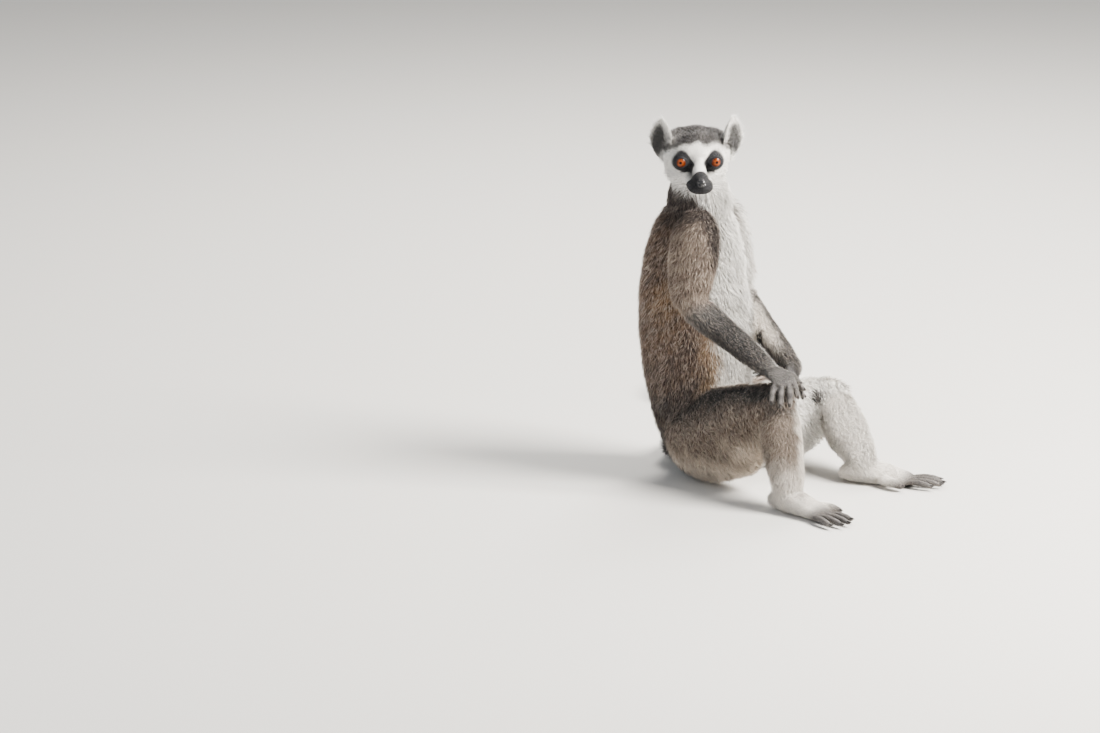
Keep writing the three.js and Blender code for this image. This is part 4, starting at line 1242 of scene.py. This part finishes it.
def unwrapped(points, region_names):
    """A place in the unit square for each root: round its region's middle line and along it."""
    middle = points.mean(axis=0)
    if "tail" in region_names:
        nearest = along_tail(points)
        aside = unit(path_ahead[nearest]) @ np.array([[0, 1], [-1, 0]])
        offset = points[:, :2] - path[nearest]
        round_it = np.arctan2((offset * aside).sum(axis=1), points[:, 2] - TAIL_HEIGHT)
        along = path_run[nearest] / path_run[-1]
    else:
        spread = np.linalg.svd(points[:: max(1, len(points) // 3000)] - middle, full_matrices=False)[2]
        local = (points - middle) @ spread.T
        round_it = np.arctan2(local[:, 2], local[:, 1])
        along = (local[:, 0] - local[:, 0].min()) / np.ptp(local[:, 0])
    return np.stack([0.002 + 0.992 * (round_it / (2 * np.pi) + 0.5), 0.002 + 0.992 * along], axis=1)


def spike_faces(steps):
    """Triangles of a spike, closed at its root and its tip, with three points to a ring.

    They point outwards where the rings turn anticlockwise, seen from the tip.
    """
    faces = [(0, 2, 1)]
    for step in range(steps - 1):
        for a in range(3):
            p, q = 3 * step + a, 3 * step + (a + 1) % 3
            faces += [(p, q + 3, p + 3), (p, q, q + 3)]
    last = 3 * (steps - 1)
    return np.array(faces + [(last + a, last + (a + 1) % 3, 3 * steps) for a in range(3)])


def grow(name, picked, steps, square):
    """One piece of coat from the chosen roots.

    A lock's middle line leaves its root one way and turns evenly to another, as a square of the way
    along it; round the line go rings of three points, to its left, to its right and on its ridge.
    """
    root, normal, way, aside = roots[picked], root_normals[picked], lie[picked], across[picked]
    reach, thick, rise = length[picked, None, None], width[picked, None], slope[picked, None, None]
    t = np.linspace(0, 1, steps + 1)[None, :, None]
    start_way = way[:, None] + rise * 1.5 * normal[:, None]
    end_way = way[:, None] + rise * 0.25 * normal[:, None] + np.array([0, 0, -0.10])
    start_way, end_way = unit(start_way), unit(end_way)
    turned = t * start_way + t * t / 2 * (end_way - start_way)
    middle_line = root[:, None] + reach * (turned - ROOTED * normal[:, None])
    wide = thick * np.array(TAPER[steps])[None] / 2
    up = unit(np.cross(way, aside))
    up = up * np.sign((up * normal).sum(axis=1, keepdims=True))
    left = middle_line - aside[:, None] * wide[..., None]
    right_side = middle_line + aside[:, None] * wide[..., None]
    ridge = middle_line + up[:, None] * wide[..., None] * RIDGE
    rings = np.stack([left, right_side, ridge], axis=2)[:, :-1]
    count = len(root)
    tip = middle_line[:, -1:]
    lock_points = np.concatenate([rings.reshape(count, -1, 3), tip], axis=1)
    each = 3 * steps + 1
    all_points = lock_points.reshape(-1, 3)
    all_points[:, 2] = np.maximum(all_points[:, 2], FLOOR_GAP)
    all_faces = (spike_faces(steps)[None] + np.arange(count)[:, None, None] * each).reshape(-1, 3)
    along = np.concatenate([np.repeat(np.arange(steps) / steps, 3), [1.0]])
    lock = np.zeros((count, each, 4), np.float32)
    lock[..., 0] = along[None]
    lock[..., 1] = chance[picked, None]
    lock[..., 3] = 1
    attributes = {"mark": np.repeat(root_mark[picked], each, axis=0), "lock": lock.reshape(-1, 4)}
    made = mesh_object(name, all_points, all_faces, coat_material, attributes)
    corner_offset = np.zeros((each, 2))
    corner_offset[:, 1] = along * PATCH
    corner_offset[:-1, 0] = np.tile([0.0, PATCH, PATCH / 2], steps)
    corner_offset[-1, 0] = PATCH / 2
    uv = (square[:, None] + corner_offset[None]).reshape(-1, 2)[all_faces.ravel()]
    made.data.uv_layers.new(name="OFBake").data.foreach_set("uv", uv.astype(np.float32).ravel())
    return made


for name, (region_names, steps, slot) in PIECES.items():
    picked = np.flatnonzero(keep & np.isin(own, region_names))
    along = along_tail(roots[picked]) if "tail" in region_names else roots[picked, 2]
    order = picked[np.argsort(along)]
    square = unwrapped(roots[order], region_names)
    pieces = int(np.ceil(len(order) * len(spike_faces(steps)) / MOST))
    for number, chunk in enumerate(np.array_split(np.arange(len(order)), pieces)):
        grow(name + (f"_{number + 1}" if pieces > 1 else ""), order[chunk], steps, square[chunk])

# ---- Nails ----
# A small flat dark nail on every finger and toe: a thin curved shield that lies along the end of the
# digit, over its upper side.
nail_material, tree, shader = new_material("nail")
place = add_node(tree, "ShaderNodeTexCoord").outputs["Object"]
ridges = add_node(tree, "ShaderNodeTexNoise", Vector=place, Scale=900.0, Detail=2.0).outputs["Fac"]
colour = between(tree, ridges, (0.016, 0.014, 0.014, 1), (0.050, 0.044, 0.042, 1))
tree.links.new(colour, shader.inputs["Base Color"])
shader.inputs["Roughness"].default_value = 0.32
TOES_TO = {"R": (-0.32, -0.946, 0.0), "L": (0.25, -1.0, 0.0)}
# aside and ahead of the ankle, in mm: where each toe ends
TOES = [(-16.9, 84.0), (-5.6, 90.0), (5.6, 89.0), (16.9, 81.0), (29.0, 52.0)]
NAIL = np.array([0.0030, 0.0018, 0.0005])  # half length, half width, half thickness
NAIL_BACK, NAIL_SEAT, NAIL_BEND, NAIL_CURVE = 0.0030, 0.0002, 0.0028, 0.012  # the last two are radii
NAIL_ROWS, NAIL_COLUMNS = 7, 16
TOE_HEIGHT = 0.0040


def nail(end, ahead, above):
    """One nail's points: an oval shield bent across its width, on the hide just behind the digit's end."""
    ahead = unit(ahead - (ahead @ above) * above)
    aside = np.cross(above, ahead)
    seat = settled((end - ahead * NAIL_BACK + above * NAIL_BACK)[None], 8)[0]
    ball = unit_ball(NAIL_ROWS, NAIL_COLUMNS) * NAIL
    ball[:, 2] -= 0.5 * ball[:, 1] ** 2 / NAIL_BEND + 0.5 * ball[:, 0] ** 2 / NAIL_CURVE
    return seat + ball @ np.stack([ahead, aside, above]) + above * NAIL_SEAT


for label in ("R", "L"):
    hand_nails, foot_nails = [], []
    for start, end in FINGERS[label]:
        tip, before = on_knee(*end), on_knee(*(np.array(start) * 0.25 + np.array(end) * 0.75))
        hand_nails.append(nail(tip, tip - before, unit(tip - KNEE)))
    toes_ahead = unit(np.array(TOES_TO[label]))
    inward = np.cross(toes_ahead, (0.0, 0.0, 1.0)) * (-1 if label == "R" else 1)
    heel = np.array(ANKLE["_" + label]) * (1, 1, 0)
    for aside, ahead in TOES:
        tip = heel + (toes_ahead * ahead + inward * aside) / 1000 + np.array([0, 0, TOE_HEIGHT])
        sloping = unit(np.array([0.0, 0.0, 1.0]) + 0.3 * toes_ahead)
        foot_nails.append(nail(tip, toes_ahead + inward * aside / 90, sloping))
    for kind, shields in (("finger_nails_", hand_nails), ("toe_nails_", foot_nails)):
        each = len(shields[0])
        faces = np.concatenate([ball_faces(NAIL_ROWS, NAIL_COLUMNS) + each * i for i in range(len(shields))])
        mesh_object(kind + label, np.concatenate(shields), faces, nail_material)

# ---- Whiskers ----
# A few long, fine, dark hairs in three rows on each side of the muzzle. Each is a closed three-sided
# spike rooted in the hide, which leaves it sideways and sweeps back and down.
WHISKER_ROWS, WHISKER_STEPS, WHISKER_RADIUS = 3, 6, 0.00016
dice = np.random.default_rng(5)
whiskers = []
t = np.linspace(0, 1, WHISKER_STEPS + 1)[:, None]
for side_sign in (1, -1):
    for row, column in np.ndindex(WHISKER_ROWS, WHISKER_ROWS):
        seat = np.array([side_sign * (8.5 + 1.6 * column), 31.0 - 3.2 * column, -18.0 - 2.6 * row])
        root = settled((HEAD_AT + head_axes @ (seat / 1000))[None], 8)[0]
        way = np.array([side_sign * 1.0, 0.15 - 0.25 * column, 0.20 - 0.35 * row])
        way = head_axes @ unit(way + dice.normal(0, 0.08, 3))
        bend = head_axes @ np.array([side_sign * -0.10, -0.55, -0.35])
        line = root + dice.uniform(0.016, 0.026) * (t * way + t**2 / 2 * bend)
        across = unit(np.cross(way, head_axes[:, 2]))
        above = np.cross(across, way)
        thick = WHISKER_RADIUS * (1 - 0.9 * t[:-1])
        corner_turns = 2 * np.pi * np.arange(3) / 3
        rings = [line[:-1] + thick * (np.cos(turn) * across + np.sin(turn) * above) for turn in corner_turns]
        whiskers.append(np.concatenate([np.stack(rings, axis=1).reshape(-1, 3), line[-1:]]))
spikes = [spike_faces(WHISKER_STEPS)[:, ::-1] + number * len(whiskers[0]) for number in range(len(whiskers))]
whisker_piece = mesh_object("whiskers", np.concatenate(whiskers), np.concatenate(spikes), nail_material)
